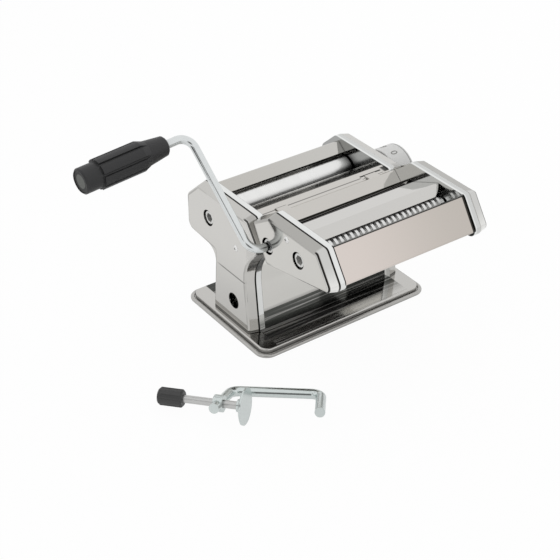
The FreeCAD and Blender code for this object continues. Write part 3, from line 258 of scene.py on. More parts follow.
class Shader:
    """The node tree of one material or world."""

    def __init__(self, owner):
        owner.use_nodes = True
        self.tree = owner.node_tree
        self.tree.nodes.clear()

    def node(self, kind, settings=None, inputs=None, output=0):
        """A node with its settings made first, then the values or links of its sockets."""
        made = self.tree.nodes.new(kind)
        for key, value in (settings or {}).items():
            setattr(made, key, value)
        for key, value in (inputs or {}).items():
            if isinstance(value, Wire):
                self.tree.links.new(value.socket, made.inputs[key])
            else:
                made.inputs[key].default_value = value
        return Wire(self, made.outputs[output]) if made.outputs else None

    def math(self, operation, first, second=0.0):
        return self.node("ShaderNodeMath", {"operation": operation}, {0: first, 1: second})

    def vector_math(self, operation, first, second=(0.0, 0.0, 0.0), output="Vector"):
        return self.node("ShaderNodeVectorMath", {"operation": operation}, {0: first, 1: second}, output)

    def place(self):
        """Object coordinates as three wires."""
        point = self.node("ShaderNodeTexCoord", output="Object")
        return [self.node("ShaderNodeSeparateXYZ", None, {0: point}, i) for i in range(3)]

    def size(self, value):
        """A value without its sign."""
        return self.math("ABSOLUTE", value)

    def rise(self, value, low, high):
        """0 below low and 1 above high, with a soft run between them."""
        settings = {"interpolation_type": "SMOOTHSTEP"}
        return self.node("ShaderNodeMapRange", settings, {0: value, 1: low, 2: high, 3: 0.0, 4: 1.0})

    def fall(self, value, low, high):
        """1 below low and 0 above high, with a soft run between them."""
        return 1 - self.rise(value, low, high)

    def line(self, value, middle, half, soft):
        """1 within half of the middle value, fading out over soft."""
        return self.fall(self.size(value - middle), half, half + soft)

    def crevice(self, reach):
        """0 deep in a corner or gap to 1 in the open, looking as far as reach."""
        settings = {"samples": 16}
        return self.node("ShaderNodeAmbientOcclusion", settings, {"Distance": reach}, "AO")

    def off_axis(self, centre, way):
        """Distance from the line through centre along way."""
        point = self.node("ShaderNodeTexCoord", output="Object")
        out = self.vector_math("SUBTRACT", point, centre)
        across = self.vector_math("CROSS_PRODUCT", out, way)
        return self.vector_math("LENGTH", across, output="Value")

    def most(self, *shares):
        """The largest of several shares."""
        largest = shares[0]
        for share in shares[1:]:
            largest = self.math("MAXIMUM", largest, share)
        return largest

    def away(self, y, z, outline):
        """Distance in the side plane from the nearest edge of a closed (y, z) outline."""
        nearest = None
        for start, end in zip(outline, outline[1:] + outline[:1]):
            run = (end[0] - start[0], end[1] - start[1])
            square = run[0] ** 2 + run[1] ** 2
            along = ((y - start[0]) * run[0] + (z - start[1]) * run[1]) * (1 / square)
            along = self.node("ShaderNodeClamp", None, {0: along})
            off_y = y - start[0] - along * run[0]
            off_z = z - start[1] - along * run[1]
            gap = self.math("SQRT", off_y * off_y + off_z * off_z)
            nearest = gap if nearest is None else self.math("MINIMUM", nearest, gap)
        return nearest

    def noise(self, scale, stretch=(1, 1, 1), detail=2.0):
        """Smooth noise from 0 to 1; a small stretch along an axis draws it out that way."""
        point = self.node("ShaderNodeTexCoord", output="Object")
        spread = self.node("ShaderNodeMapping", {"vector_type": "POINT"}, {0: point, "Scale": stretch})
        inputs = {"Vector": spread, "Scale": scale, "Detail": detail}
        return self.node("ShaderNodeTexNoise", None, inputs)

    def mix(self, share, first, second):
        """Colour from first at share 0 to second at share 1."""
        settings = {"data_type": "RGBA"}
        return self.node("ShaderNodeMix", settings, {0: share, 6: colour(first), 7: colour(second)}, 2)

    def surface(self, **values):
        """The material's principled shader and its output."""
        inputs = {key.replace("_", " "): value for key, value in values.items()}
        closure = self.node("ShaderNodeBsdfPrincipled", None, inputs)
        self.node("ShaderNodeOutputMaterial", None, {"Surface": closure})


def colour(value):
    """A wire as it is, or a tint as a colour socket takes it."""
    return value if isinstance(value, Wire) else (*value, 1.0)


def shade(tint, factor):
    """A tint made darker by a factor below 1, or paler by one above it."""
    return [part * factor for part in tint]


def rounded_normal(shader, radius, height, distance):
    """Normal with the edges softened and a height pattern on top."""
    edge = shader.node("ShaderNodeBevel", {"samples": 6}, {"Radius": radius})
    inputs = {"Height": height, "Distance": distance, "Strength": 1.0, "Normal": edge}
    return shader.node("ShaderNodeBump", None, inputs)


def polished_steel(
    name, sheet, marks=None, tint=None, right_reflection_tint=None, lean=0.0, lean_to=0.0, reach=None, own_shade_tint=None
):
    """Mirror sheet with faint smudges, slow waves and painted shade in its crevices.

    marks(shader, x, y, z) gives the shares of painted shade, of painted highlight and of dullness drawn on
    this sheet.
    A tint for the right end is the colour at the far end of X, a painted reflection that changes along the
    sheet. A lean stands the sheet's reflections up by that slope behind the line y = lean_to. The reach is
    how far a corner's painted shade spreads into the sheet.
    """
    material = bpy.data.materials.new(name)
    shader = Shader(material)
    x, y, z = shader.place()
    pale = tint or sheet.tint
    # Painted reflection: the colour changes along X towards the tint for the right end.
    if right_reflection_tint:
        pale = shader.mix(shader.rise(x, -FRAME_INNER_X, FRAME_INNER_X), pale, right_reflection_tint)
    smudge = shader.noise(SMUDGE_SCALE, detail=4.0)
    # Painted shade: the colour darkens towards the shade tint in corners and gaps, by how open the place is.
    dark = shader.fall(shader.crevice(reach or sheet.crevice_reach), *SHEET_OPEN_SHARE)
    metallic = 1.0
    # The marks add painted shade lines and painted highlights; dullness lifts the painted shade and some of
    # the metal look.
    if marks:
        lines, painted_highlight, dull = marks(shader, x, y, z)
        dark = shader.most(dark, lines)
        if painted_highlight:
            pale = shader.mix(painted_highlight, pale, sheet.shine_tint)
        if dull:
            dark = dark * (1 - dull)
            metallic = 1 - DULL_METAL_LOSS * dull
    height = shader.noise(WAVE_SCALE, detail=1.0) * sheet.wave
    if lean:
        height = height + lean * shader.math("MAXIMUM", y, lean_to)
    shader.surface(
        Base_Color=shader.mix(dark, pale, own_shade_tint or sheet.crevice_tint),
        Metallic=metallic,
        Roughness=sheet.roughness + sheet.smudge * smudge,
        Normal=rounded_normal(shader, SHEET_EDGE, height, distance=1.0),
    )
    return material


def plain_metal(
    name, tint, roughness, grain, stretch=(1, 1, 1), depth=0.00002, corner_painted_shade=0.6, reach=0.004,
    open_share=(0.1, 0.9), metallic=1.0,
):
    """Metal with a fine grain, drawn out along the axes with a small stretch, with painted shade in corners.

    The depth is that of the grain. Painted shade darkens a corner within reach by the given share where it
    is as open as the first open_share or less, and not at all from the second one up.
    """
    material = bpy.data.materials.new(name)
    shader = Shader(material)
    fine = shader.noise(grain, stretch, detail=3.0)
    # Painted shade in corners and gaps, by how open the place is.
    dark = corner_painted_shade * shader.fall(shader.crevice(reach), *open_share)
    pale = shader.mix(fine, shade(tint, METAL_GRAIN_SHADE), tint)
    shader.surface(
        Base_Color=shader.mix(dark, pale, METAL_PAINTED_SHADE_TINT),
        Metallic=metallic,
        Roughness=roughness + METAL_GRAIN_BLUR * fine,
        Normal=rounded_normal(shader, METAL_EDGE, fine, depth),
    )
    return material


def moulded(name, tint, roughness, ring_x=None, disc=None):
    """Moulded plastic with a fine even grain.

    A darker ring goes around it at ring_x. A disc, given by its centre, the way it faces and its
    radius, is paler inside a dark ring.
    """
    material = bpy.data.materials.new(name)
    shader = Shader(material)
    fine = shader.noise(PLASTIC_GRAIN)
    pale = shader.mix(fine, shade(tint, PLASTIC_GRAIN_SHADE), tint)
    if ring_x:
        ring = shader.line(shader.place()[0], ring_x, half=0.0004, soft=0.0004)
        pale = shader.mix(ring, pale, shade(tint, RING_SHADE))
    if disc:
        centre, way, radius = disc
        off = shader.off_axis(centre, way)
        inside = shader.fall(off, radius - 0.0005, radius)
        ring = shader.line(off, radius + DISC_RING_GAP, half=0.0007, soft=0.0003)
        pale = shader.mix(inside, pale, shade(tint, DISC_SHADE))
        pale = shader.mix(ring, pale, shade(tint, DISC_RING_SHADE))
    shader.surface(
        Base_Color=pale,
        Roughness=roughness + PLASTIC_GRAIN_BLUR * fine,
        Normal=rounded_normal(shader, PLASTIC_EDGE, fine, PLASTIC_GRAIN_DEPTH),
    )
    return material


def dress(material, *nodes):
    """Gives the named nodes their material."""
    for name in nodes:
        for holder in frame["nodes"][name].material_slots:
            holder.material = material


def add_object(name, shape, material):
    """An object in the scene, made from a finished bmesh and its material."""
    mesh = bpy.data.meshes.new(name)
    shape.to_mesh(mesh)
    shape.free()
    mesh.materials.append(material)
    made = bpy.data.objects.new(name, mesh)
    bpy.context.scene.collection.objects.link(made)
    return made


class SheetSettings(bpy.types.PropertyGroup):
    """Look of the polished sheets"""

    tint: bpy.props.FloatVectorProperty(
        name="Steel", description="Colour of a polished sheet that has none of its own",
        default=(0.62, 0.61, 0.59), size=3, subtype="COLOR",
    )
    # Painted light: the rims are the same steel as the sheets, given a paler tint for their brighter look.
    rim_tint: bpy.props.FloatVectorProperty(
        name="Rims", description="Colour of the side frames' rims",
        default=(0.80, 0.81, 0.80), size=3, subtype="COLOR",
    )
    # Painted shade: colour that seams and tight corners take in place of their shade.
    crevice_tint: bpy.props.FloatVectorProperty(
        name="Crevices", description="Colour of seams and tight corners",
        default=(0.012, 0.012, 0.01), size=3, subtype="COLOR",
    )
    # Painted highlight: colour of the bright lines along bends.
    shine_tint: bpy.props.FloatVectorProperty(
        name="Shine", description="Colour of the bright lines along bends",
        default=(0.97, 0.97, 0.95), size=3, subtype="COLOR",
    )
    # Painted shade: how far the darkening of a corner spreads.
    crevice_reach: bpy.props.FloatProperty(
        name="Crevice reach", description="How far a corner darkens the sheet",
        default=0.006, unit="LENGTH",
    )
    roughness: bpy.props.FloatProperty(
        name="Roughness", description="How blurred the sheet's reflections are",
        default=0.07, min=0, max=1, subtype="FACTOR",
    )
    smudge: bpy.props.FloatProperty(
        name="Smudges", description="How much more blurred the reflections are in a smudge",
        default=0.05, min=0, max=1, subtype="FACTOR",
    )
    wave: bpy.props.FloatProperty(
        name="Wave", description="Height of the sheet's slow waves",
        default=0.0004, unit="LENGTH",
    )
    seam_x: bpy.props.FloatProperty(
        name="Seam", description="Distance of the cover seams from the middle",
        default=SEAM_X, unit="LENGTH",
    )
    # The seam's dark line is painted shade in the gap.
    seam_half: bpy.props.FloatProperty(
        name="Seam half width", description="Half of the dark line at a seam",
        default=0.0008, unit="LENGTH",
    )
    bevel_x: bpy.props.FloatProperty(
        name="Bevel", description="Distance of the covers' bevels from the middle",
        default=COVER_FACE_X - 0.0011, unit="LENGTH",
    )
    face_inset: bpy.props.FloatProperty(
        name="Face inset", description="Width of the border around a cover's flat face",
        default=0.0045, unit="LENGTH",
    )


class SpringSettings(bpy.types.PropertyGroup):
    """Shape of the knob's spring"""

    wire: bpy.props.FloatProperty(
        name="Wire", description="Radius of the spring's wire",
        default=0.0005, unit="LENGTH",
    )
    turns: bpy.props.IntProperty(
        name="Turns", description="Number of the spring's turns",
        default=5,
    )


class DialSettings(bpy.types.PropertyGroup):
    """Figures around the knob"""

    height: bpy.props.FloatProperty(
        name="Figure height", description="Size of the dial's figures",
        default=0.011, unit="LENGTH",
    )
    depth: bpy.props.FloatProperty(
        name="Figure depth", description="Half thickness of the printed figures",
        default=0.00012, unit="LENGTH",
    )
    from_end: bpy.props.FloatProperty(
        name="From end", description="Distance of the figures from the knob's outer end",
        default=0.0145, unit="LENGTH",
    )
    start: bpy.props.FloatProperty(
        name="Start", description="Turn of the figure 0 from the top",
        default=math.radians(15), subtype="ANGLE",
    )
    tint: bpy.props.FloatVectorProperty(
        name="Paint", description="Colour of the figures",
        default=(0.22, 0.22, 0.21), size=3, subtype="COLOR",
    )


class HandleSettings(bpy.types.PropertyGroup):
    """Rings on the grip's end and on the knob"""

    disc_radius: bpy.props.FloatProperty(
        name="Grip disc", description="Radius of the paler disc on the grip's end",
        default=0.0072, unit="LENGTH",
    )
    ring_inset: bpy.props.FloatProperty(
        name="Knob ring", description="Distance of the knob's dark ring from its outer end",
        default=0.0024, unit="LENGTH",
    )


class StageSettings(bpy.types.PropertyGroup):
    """Camera, surroundings, lamps and floor"""

    azimuth: bpy.props.FloatProperty(
        name="Azimuth", description="Turn of the view from straight along +Y",
        default=math.radians(35.69), subtype="ANGLE",
    )
    elevation: bpy.props.FloatProperty(
        name="Elevation", description="Height angle of the camera",
        default=math.radians(33.73), subtype="ANGLE",
    )
    focal_share: bpy.props.FloatProperty(
        name="Focal share", description="Focal length as a share of the sensor's side",
        default=FOCAL_PIXELS / PICTURE_SIDE,
    )
    place: bpy.props.FloatVectorProperty(
        name="Camera place", description="Centre of the camera",
        default=(-0.7152, -0.9479, 0.8103), subtype="XYZ", unit="LENGTH",
    )
    dark_side: bpy.props.FloatVectorProperty(
        name="Dark side", description="Way to the unlit end of the studio",
        default=(-0.62, -0.70, 0.35), subtype="XYZ",
    )
    dark_core: bpy.props.FloatProperty(
        name="Dark core", description="Half angle of the fully dark spot",
        default=math.radians(12), subtype="ANGLE",
    )
    dark_reach: bpy.props.FloatProperty(
        name="Dark reach", description="Half angle where the dark has faded out",
        default=math.radians(24), subtype="ANGLE",
    )
    streak_side: bpy.props.FloatVectorProperty(
        name="Streak side", description="Way to the small dark spot that the crank shows",
        default=(-0.83, -0.07, 0.56), subtype="XYZ",
    )
    streak_core: bpy.props.FloatProperty(
        name="Streak core", description="Half angle of the small dark spot",
        default=math.radians(4), subtype="ANGLE",
    )
    streak_reach: bpy.props.FloatProperty(
        name="Streak reach", description="Half angle where the small spot has faded out",
        default=math.radians(12), subtype="ANGLE",
    )
    key_power: bpy.props.FloatProperty(
        name="Key lamp", description="Power of the lamp over the right rear",
        default=5.9, unit="POWER",
    )
    fill_power: bpy.props.FloatProperty(
        name="Fill lamp", description="Power of the lamp over the left front",
        default=4.0, unit="POWER",
    )
    floor_half: bpy.props.FloatProperty(
        name="Floor half side", description="Half of the floor's side",
        default=6.0, unit="LENGTH",
    )


def seam_mark(shader, sheet, x):
    """Painted shade: black line in the seam between a cover and its frame, only faint on the side away from
    the crank.
    """
    strength = 1 - FAR_SEAM_LOSS * shader.rise(x, *SIDE_CHANGE_X)
    return strength * shader.line(shader.size(x), sheet.seam_x, sheet.seam_half, soft=0.0002)


def neck_haze(shader, y, z):
    """Dullness of the hollow under the crank, where the sheet only shows dark things."""
    hollow = shader.line(z, NECK_Z, half=0.013, soft=0.004) * shader.fall(y, *NECK_FRONT_Y)
    low, high = NECK_DULL
    return hollow * (low + (high - low) * shader.rise(z, *NECK_SHADE_Z))


def cover_marks(sheet, outline, front, top_from, front_bend_shade, top_border_shade, band_highlight, band_shade):
    """Painted shade and highlights of one pair of covers: seam, dark and bright front bends, creases and
    borders.

    front is the y ahead of which a bend is at the front, and top_from the height where the marks
    of the top and of the front bend begin. The others are shares: of painted dark reflection on the
    front bend, of painted shade on the border along the top, and of painted highlight and of painted
    shade on the band between seam and bevel.
    """
    gap = 0.0009
    soft = 0.0005
    band_low = sheet.seam_x + gap
    band_high = sheet.bevel_x - gap
    front_run = (front - 0.002, front + 0.002)
    corner_run = (top_from, top_from + 0.005)
    top_run = (top_from, top_from + 0.03)

    def marks(shader, x, y, z):
        out = shader.size(x)
        ahead = shader.fall(y, *front_run) * shader.rise(z, *corner_run)
        # Painted dark reflection along the bevel, stronger at the front, and a painted glint just outside
        # it; the band between seam and bevel gets painted highlight or painted shade.
        bend = shader.line(out, sheet.bevel_x, half=0.0006, soft=0.0003) * (BEND_DARK + front_bend_shade * ahead)
        band = shader.rise(out, band_low, band_low + soft) * shader.fall(out, band_high - soft, band_high)
        edge = shader.line(out, sheet.bevel_x + gap, half=0.0001, soft=0.0001)
        painted_highlight = shader.most(band * band_highlight, edge) * ahead
        shaded = band * ahead * band_shade
        # Painted shade along the crease of the face's border, in patches, and along the top border.
        inset = shader.away(y, z, outline)
        patchy = shader.rise(shader.noise(PATCH_SCALE, detail=1.0), *PATCH_NOISE)
        crease = shader.line(inset, sheet.face_inset, half=0.0003, soft=0.0012)
        crease = crease * patchy * (COVER_CREASE_DARK - COVER_CREASE_LOSS * ahead)
        border = shader.fall(inset, sheet.face_inset, sheet.face_inset + 0.001)
        border = border * shader.rise(z, *top_run) * top_border_shade
        return shader.most(seam_mark(shader, sheet, x), bend, crease, border, shaded), painted_highlight, None

    return marks


def main_cover_marks(sheet):
    """The main covers also have painted shade on a crease across the leg, at the foot and down the leg, and
    a dull neck.
    """
    base = cover_marks(
        sheet, MAIN_OUTLINE, MAIN_FRONT_Y, MAIN_TOP_Z,
        front_bend_shade=0.8, top_border_shade=0.12, band_highlight=0.0, band_shade=0.35,
    )

    def marks(shader, x, y, z):
        dark, painted_highlight = base(shader, x, y, z)[:2]
        leg = shader.rise(y, *LEG_FRONT_Y) * shader.fall(y, *LEG_REAR_Y)
        face = shader.rise(shader.size(x), *COVER_FACE_RUN_X)
        crease = shader.line(z, LEG_CREASE_Z, half=0.0003, soft=0.0009) * leg * face * LEG_CREASE_DARK
        foot = shader.line(z, COVER_FOOT_Z, half=0.0006, soft=0.0006) * COVER_FOOT_DARK
        low = LEG_SHADE_DARK * shader.fall(z, *LEG_SHADE_Z)
        return shader.most(dark, crease, foot, low), painted_highlight, neck_haze(shader, y, z)

    return marks


def cutter_cover_marks(sheet):
    """The cutter covers show a painted bright band beside their painted dark front bend."""
    return cover_marks(
        sheet, CUTTER_OUTLINE, CUTTER_FRONT_Y, CUTTER_TOP_Z,
        front_bend_shade=0.9, top_border_shade=0.34, band_highlight=0.85, band_shade=0.0,
    )


def rim_marks(sheet, inner_shade_share, front_reach=None):
    """Painted shade: seam line under the covers, darker inner walls, darker right rim and a dark strip
    before the front plate.

    front_reach is the distance of that strip along the front plate's outward direction. Frames
    without one have the hollow under the crank instead.
    """

    def marks(shader, x, y, z):
        out = shader.size(x)
        inner = shader.fall(out, *RIM_WALL_X)
        right = RIGHT_RIM_DARK * shader.rise(x, *RIM_FACE_X)
        dark = shader.most(seam_mark(shader, sheet, x), inner * inner_shade_share, right)
        if not front_reach:
            return dark, None, neck_haze(shader, y, z)
        ahead = FRONT_PLATE_WAY[0] * y + FRONT_PLATE_WAY[1] * z
        strip = shader.fall(out, *RIM_STRIP_X)
        strip = strip * shader.rise(ahead, front_reach, front_reach + 0.0004)
        return shader.most(dark, strip), None, None

    return marks


def middle_plate_marks(shader, x, y, z):
    """Painted shade on the rear edge that the slot before the cutters shows."""
    return shader.rise(y, *MIDDLE_REAR_Y), None, None


def hook_end(shader, x, y, z):
    """Painted highlight on the faces inside the narrow step beside the right hook, which would mirror itself
    black.
    """
    within = shader.line(x, HOOK_STEP_X, half=0.0016, soft=0.0002)
    within = within * shader.line(y, HOOK_STEP_Y, half=0.0032, soft=0.0003)
    return within * shader.fall(z, *HOOK_STEP_Z)


def rear_plate_marks(shader, x, y, z):
    """Painted shade on the front lip in the slot before the cutters and on the thin line carried over the
    left hook.
    """
    lip = shader.fall(y, *REAR_PLATE_LIP_Y)
    line = shader.fall(x, *LEFT_HOOK_X) * shader.line(y, HOOK_LINE_Y, half=0.0004, soft=0.0003)
    return shader.most(lip, line * HOOK_LINE_DARK), hook_end(shader, x, y, z), None


def front_plate_marks(shader, x, y, z):
    """Painted shade on the upper lip under the cut strips and on the right end beside the frame."""
    lip = shader.rise(y, *FRONT_PLATE_LIP_Y)
    return shader.most(lip, PLATE_END_DARK * shader.rise(x, *FRONT_PLATE_END_X)), None, None


def front_hopper_marks(shader, x, y, z):
    """Painted shade on the slope down to the rollers, the thin line behind the cutters, the hook slot and
    the notch.
    """
    slope = shader.fall(y, *SLOPE_REAR_Y) * shader.rise(y, *SLOPE_FRONT_Y) * SLOPE_DARK
    line = shader.line(y, HOOK_LINE_Y, half=0.0005, soft=0.0005) * shader.fall(x, *RIGHT_HOOK_X)
    rear = shader.line(y, HOOK_SLOT_REAR_Y, half=0.0009, soft=0.0003) * HOOK_SLOT_DARK
    front = shader.line(y, HOOK_SLOT_FRONT_Y, half=0.0003, soft=0.0003) * HOOK_LINE_DARK
    slot = shader.line(x, HOOK_SLOT_X, half=0.0125, soft=0.001) * shader.most(rear, front)
    notch = shader.rise(x, *NOTCH_X) * shader.line(y, NOTCH_Y, half=0.0038, soft=0.0008) * NOTCH_DARK
    return shader.most(slope, line * HOOK_LINE_DARK, slot, notch), hook_end(shader, x, y, z), None


def leg_panel_marks(shader, x, y, z):
    """Painted shade on the foot next to the tray."""
    return PANEL_FOOT_DARK * shader.fall(z, *PANEL_FOOT_Z), None, None


def tray_marks(shader, x, y, z):
    """Painted shade on the top under the machine, on the walls and on the bead, with thin dull streaks along
    X and a dull groove.
    """
    top = shader.rise(z, *TRAY_TOP_Z)
    between = shader.fall(shader.size(x), *TRAY_MIDDLE_X)
    under = between * shader.rise(y, *TRAY_SHADE_Y) * top * TRAY_SHADE_DARK
    walls = TRAY_WALL_DARK * shader.fall(z, *TRAY_WALL_Z)
    bead = TRAY_BEAD_DARK * shader.fall(z, *TRAY_BEAD_Z)
    fine = shader.noise(STREAK_SCALE, STREAK_STRETCH, detail=1.0)
    streaks = shader.rise(fine, *STREAK_NOISE) * top * between * STREAK_DULL
    groove = GROOVE_DULL * shader.fall(z, *TRAY_GROOVE_Z)
    return shader.most(under, walls, bead), None, shader.most(streaks, groove)


class PASTA_OT_sheet_metal(bpy.types.Operator):
    """Polished covers, frames, plates and base tray"""

    bl_idname = "pasta.sheet_metal"
    bl_label = "Sheet metal"

    def execute(self, context):
        sheet = context.scene.pasta_sheet
        # Every sheet is the same polished steel; the tint given to each part below is painted light and
        # shade, lighter or darker for how bright that part looks.
        main_covers = polished_steel(
            "main_cover_steel", sheet, main_cover_marks(sheet), tint=(0.655, 0.645, 0.62)
        )
        dress(main_covers, "main_cover_left", "main_cover_right")
        cutter_covers = polished_steel(
            "cutter_cover_steel", sheet, cutter_cover_marks(sheet), tint=(0.65, 0.64, 0.61)
        )
        dress(cutter_covers, "cutter_cover_left", "cutter_cover_right")
        main_rims = polished_steel(
            "main_frame_steel", sheet, rim_marks(sheet, inner_shade_share=0.52), tint=sheet.rim_tint
        )
        dress(main_rims, "main_frame_left", "main_frame_right")
        cutter_rim_marks = rim_marks(sheet, inner_shade_share=0.2, front_reach=FRONT_STRIP_REACH)
        cutter_rims = polished_steel("cutter_frame_steel", sheet, cutter_rim_marks, tint=sheet.rim_tint)
        dress(cutter_rims, "cutter_frame_left", "cutter_frame_right")
        # Painted reflection: the rear hopper gets a little paler towards the right.
        rear_hopper = polished_steel(
            "rear_hopper_steel", sheet, tint=(0.545, 0.53, 0.50), right_reflection_tint=(0.575, 0.565, 0.54)
        )
        dress(rear_hopper, "rear_hopper_plate")
        front_hopper = polished_steel(
            "front_hopper_steel", sheet, front_hopper_marks, tint=(0.62, 0.60, 0.57), reach=0.0008
        )
        dress(front_hopper, "front_hopper_plate")
        rear_plate = polished_steel(
            "rear_plate_steel", sheet, rear_plate_marks, tint=(0.60, 0.58, 0.55), reach=0.002
        )
        dress(rear_plate, "cutter_rear_plate")
        middle = polished_steel(
            "middle_plate_steel", sheet, middle_plate_marks, lean=0.2, lean_to=MIDDLE_CREST_Y
        )
        dress(middle, "cutter_middle_plate")
        # Painted reflection: the front plate goes from a warm pale tint at the left to a darker one at the
        # right.
        front_plate = polished_steel(
            "front_plate_steel", sheet, front_plate_marks,
            tint=(0.70, 0.635, 0.595), right_reflection_tint=(0.545, 0.505, 0.465),
        )
        dress(front_plate, "cutter_front_plate")
        panel = polished_steel("leg_panel_steel", sheet, leg_panel_marks, tint=(0.70, 0.69, 0.66))
        dress(panel, "leg_panel")
        # The tray's own shade tint is the colour of its painted shade under the machine.
        tray = polished_steel(
            "tray_steel", sheet, tray_marks,
            tint=(0.55, 0.54, 0.52), reach=0.0025, own_shade_tint=(0.042, 0.045, 0.040),
        )
        dress(tray, "base_plate")
        return {"FINISHED"}


class PASTA_OT_fasteners(bpy.types.Operator):
    """Turned rods, rivets, screws and the dial's index plate"""

    bl_idname = "pasta.fasteners"
    bl_label = "Fasteners"

    def execute(self, context):
        rods = plain_metal(
            "turned_steel", tint=(0.55, 0.55, 0.54), roughness=0.2, grain=300.0, stretch=ALONG_X
        )
        dress(
            rods,
            "main_tie_rods",
            "cutter_tie_rods",
            "base_screws",
            "index_plate",
            "index_pin",
            "regulator_shaft",
            "regulator_retainer",
            "grip_washer",
        )
        # Painted shade gives the rivets a dark outline.
        rivets = plain_metal(
            "rivet_steel", tint=(0.85, 0.85, 0.84), roughness=0.12, grain=300.0,
            corner_painted_shade=1.0, reach=0.0025, open_share=(0.3, 0.9),
        )
        dress(rivets, "main_cover_rivets", "cutter_cover_rivets")
        return {"FINISHED"}


class PASTA_OT_rollers(bpy.types.Operator):
    """Rollers and cutter rollers with their gears, sockets, bushes, scrapers and combs"""

    bl_idname = "pasta.rollers"
    bl_label = "Rollers"

    def execute(self, context):
        # Painted shade darkens the rollers where the hopper lips and the other roller close over them.
        satin = plain_metal(
            "satin_roller", tint=(0.88, 0.88, 0.87), roughness=0.2, grain=120.0, stretch=AROUND_X,
            depth=0.000002, corner_painted_shade=0.98, reach=0.014, open_share=(0.45, 0.97),
        )
        dress(satin, "rear_roller", "front_roller")
        # Painted shade darkens the rings between their grooves and near the plates.
        rings = plain_metal(
            "cutter_rings", tint=(0.85, 0.85, 0.84), roughness=0.28, grain=600.0, stretch=AROUND_X,
            corner_painted_shade=0.7, reach=0.003, metallic=0.75,
        )
        dress(rings, "front_cutter_drive_roller", "front_cutter_idle_roller")
        # The rear cutter rings are the same steel as the front ones, painted near black for the shade of the
        # slot they are seen through.
        painted_dark_rings = plain_metal(
            "painted_dark_cutter_rings", tint=(0.03, 0.026, 0.024), roughness=0.3, grain=600.0,
            stretch=AROUND_X, corner_painted_shade=1.0, reach=0.02,
        )
        dress(painted_dark_rings, "rear_cutter_drive_roller", "rear_cutter_idle_roller")
        gears = plain_metal("gear_steel", tint=(0.45, 0.45, 0.44), roughness=0.3, grain=300.0)
        dress(
            gears,
            "rear_roller_gear",
            "front_roller_gear",
            "rear_cutter_drive_gear",
            "rear_cutter_idle_gear",
            "front_cutter_drive_gear",
            "front_cutter_idle_gear",
        )
        # Painted shade darkens the sockets' hex bores.
        sockets = plain_metal(
            "socket_steel", tint=(0.75, 0.75, 0.73), roughness=0.12, grain=300.0,
            corner_painted_shade=0.7, metallic=0.6,
        )
        dress(sockets, "main_drive_socket", "rear_cutter_socket", "front_cutter_socket")
        acetal = moulded("acetal", tint=(0.03, 0.03, 0.03), roughness=0.5)
        dress(
            acetal,
            "rear_roller_bushes",
            "front_roller_bushes",
            "regulator_bush",
            "cutter_bushes",
            "rear_scraper",
            "front_scraper",
            "rear_cutter_combs",
            "front_cutter_combs",
        )
        return {"FINISHED"}


class PASTA_OT_handles(bpy.types.Operator):
    """Crank, its grip and the thickness knob"""

    bl_idname = "pasta.handles"
    bl_label = "Handles"

    def execute(self, context):
        handles = context.scene.pasta_handles
        # Painted shade darkens the crank where it bends close to the covers.
        chrome = plain_metal(
            "crank_chrome", tint=(0.75, 0.775, 0.775), roughness=0.1, grain=200.0,
            depth=0.000003, corner_painted_shade=0.8, reach=0.03, open_share=(0.3, 0.95),
        )
        dress(chrome, "crank_rod")
        dress(moulded("grip_plastic", tint=(0.017, 0.017, 0.018), roughness=0.42), "crank_grip")
        way = JOINTS["grip_turn"]["axis"]
        low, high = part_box("grip_cap")
        disc = ((low + high) / 2, way, handles.disc_radius)
        cap = moulded("grip_cap_plastic", tint=(0.024, 0.025, 0.023), roughness=0.5, disc=disc)
        dress(cap, "grip_cap")
        ring_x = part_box("regulator_knob")[1].x - handles.ring_inset
        knob = moulded("knob_plastic", tint=(0.67, 0.67, 0.66), roughness=0.3, ring_x=ring_x)
        dress(knob, "regulator_knob", "regulator_cap")
        return {"FINISHED"}


class PASTA_OT_spring(bpy.types.Operator):
    """Coil spring that the knob squeezes when it is pulled"""

    bl_idname = "pasta.spring"
    bl_label = "Knob spring"

    def execute(self, context):
        spring = context.scene.pasta_spring
        low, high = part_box("regulator_spring")
        centre = (low + high) / 2
        coil_radius = (high.z - low.z) / 2 - spring.wire
        height = high.x - low.x - 2 * spring.wire
        start = Matrix.Translation((low.x + spring.wire, centre.y, centre.z + coil_radius))
        upright = start @ Matrix.Rotation(math.pi / 2, 4, "X")
        steps = spring.turns * SPRING_STEPS
        coil = bmesh.new()
        bmesh.ops.create_circle(coil, segments=WIRE_CORNERS, radius=spring.wire, matrix=upright)
        bmesh.ops.spin(
            coil, geom=coil.verts[:] + coil.edges[:], cent=centre, axis=(1, 0, 0),
            angle=math.tau * spring.turns, dvec=(height / steps, 0, 0), steps=steps, use_duplicate=False,
        )
        bmesh.ops.holes_fill(coil, edges=[edge for edge in coil.edges if edge.is_boundary])
        bmesh.ops.recalc_face_normals(coil, faces=coil.faces)
        wire = plain_metal("spring_wire", tint=(0.55, 0.55, 0.54), roughness=0.2, grain=300.0)
        piece = add_object("knob_spring", coil, wire)
        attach(piece, "regulator")
        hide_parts("regulator_spring")
        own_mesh(piece)
        return {"FINISHED"}


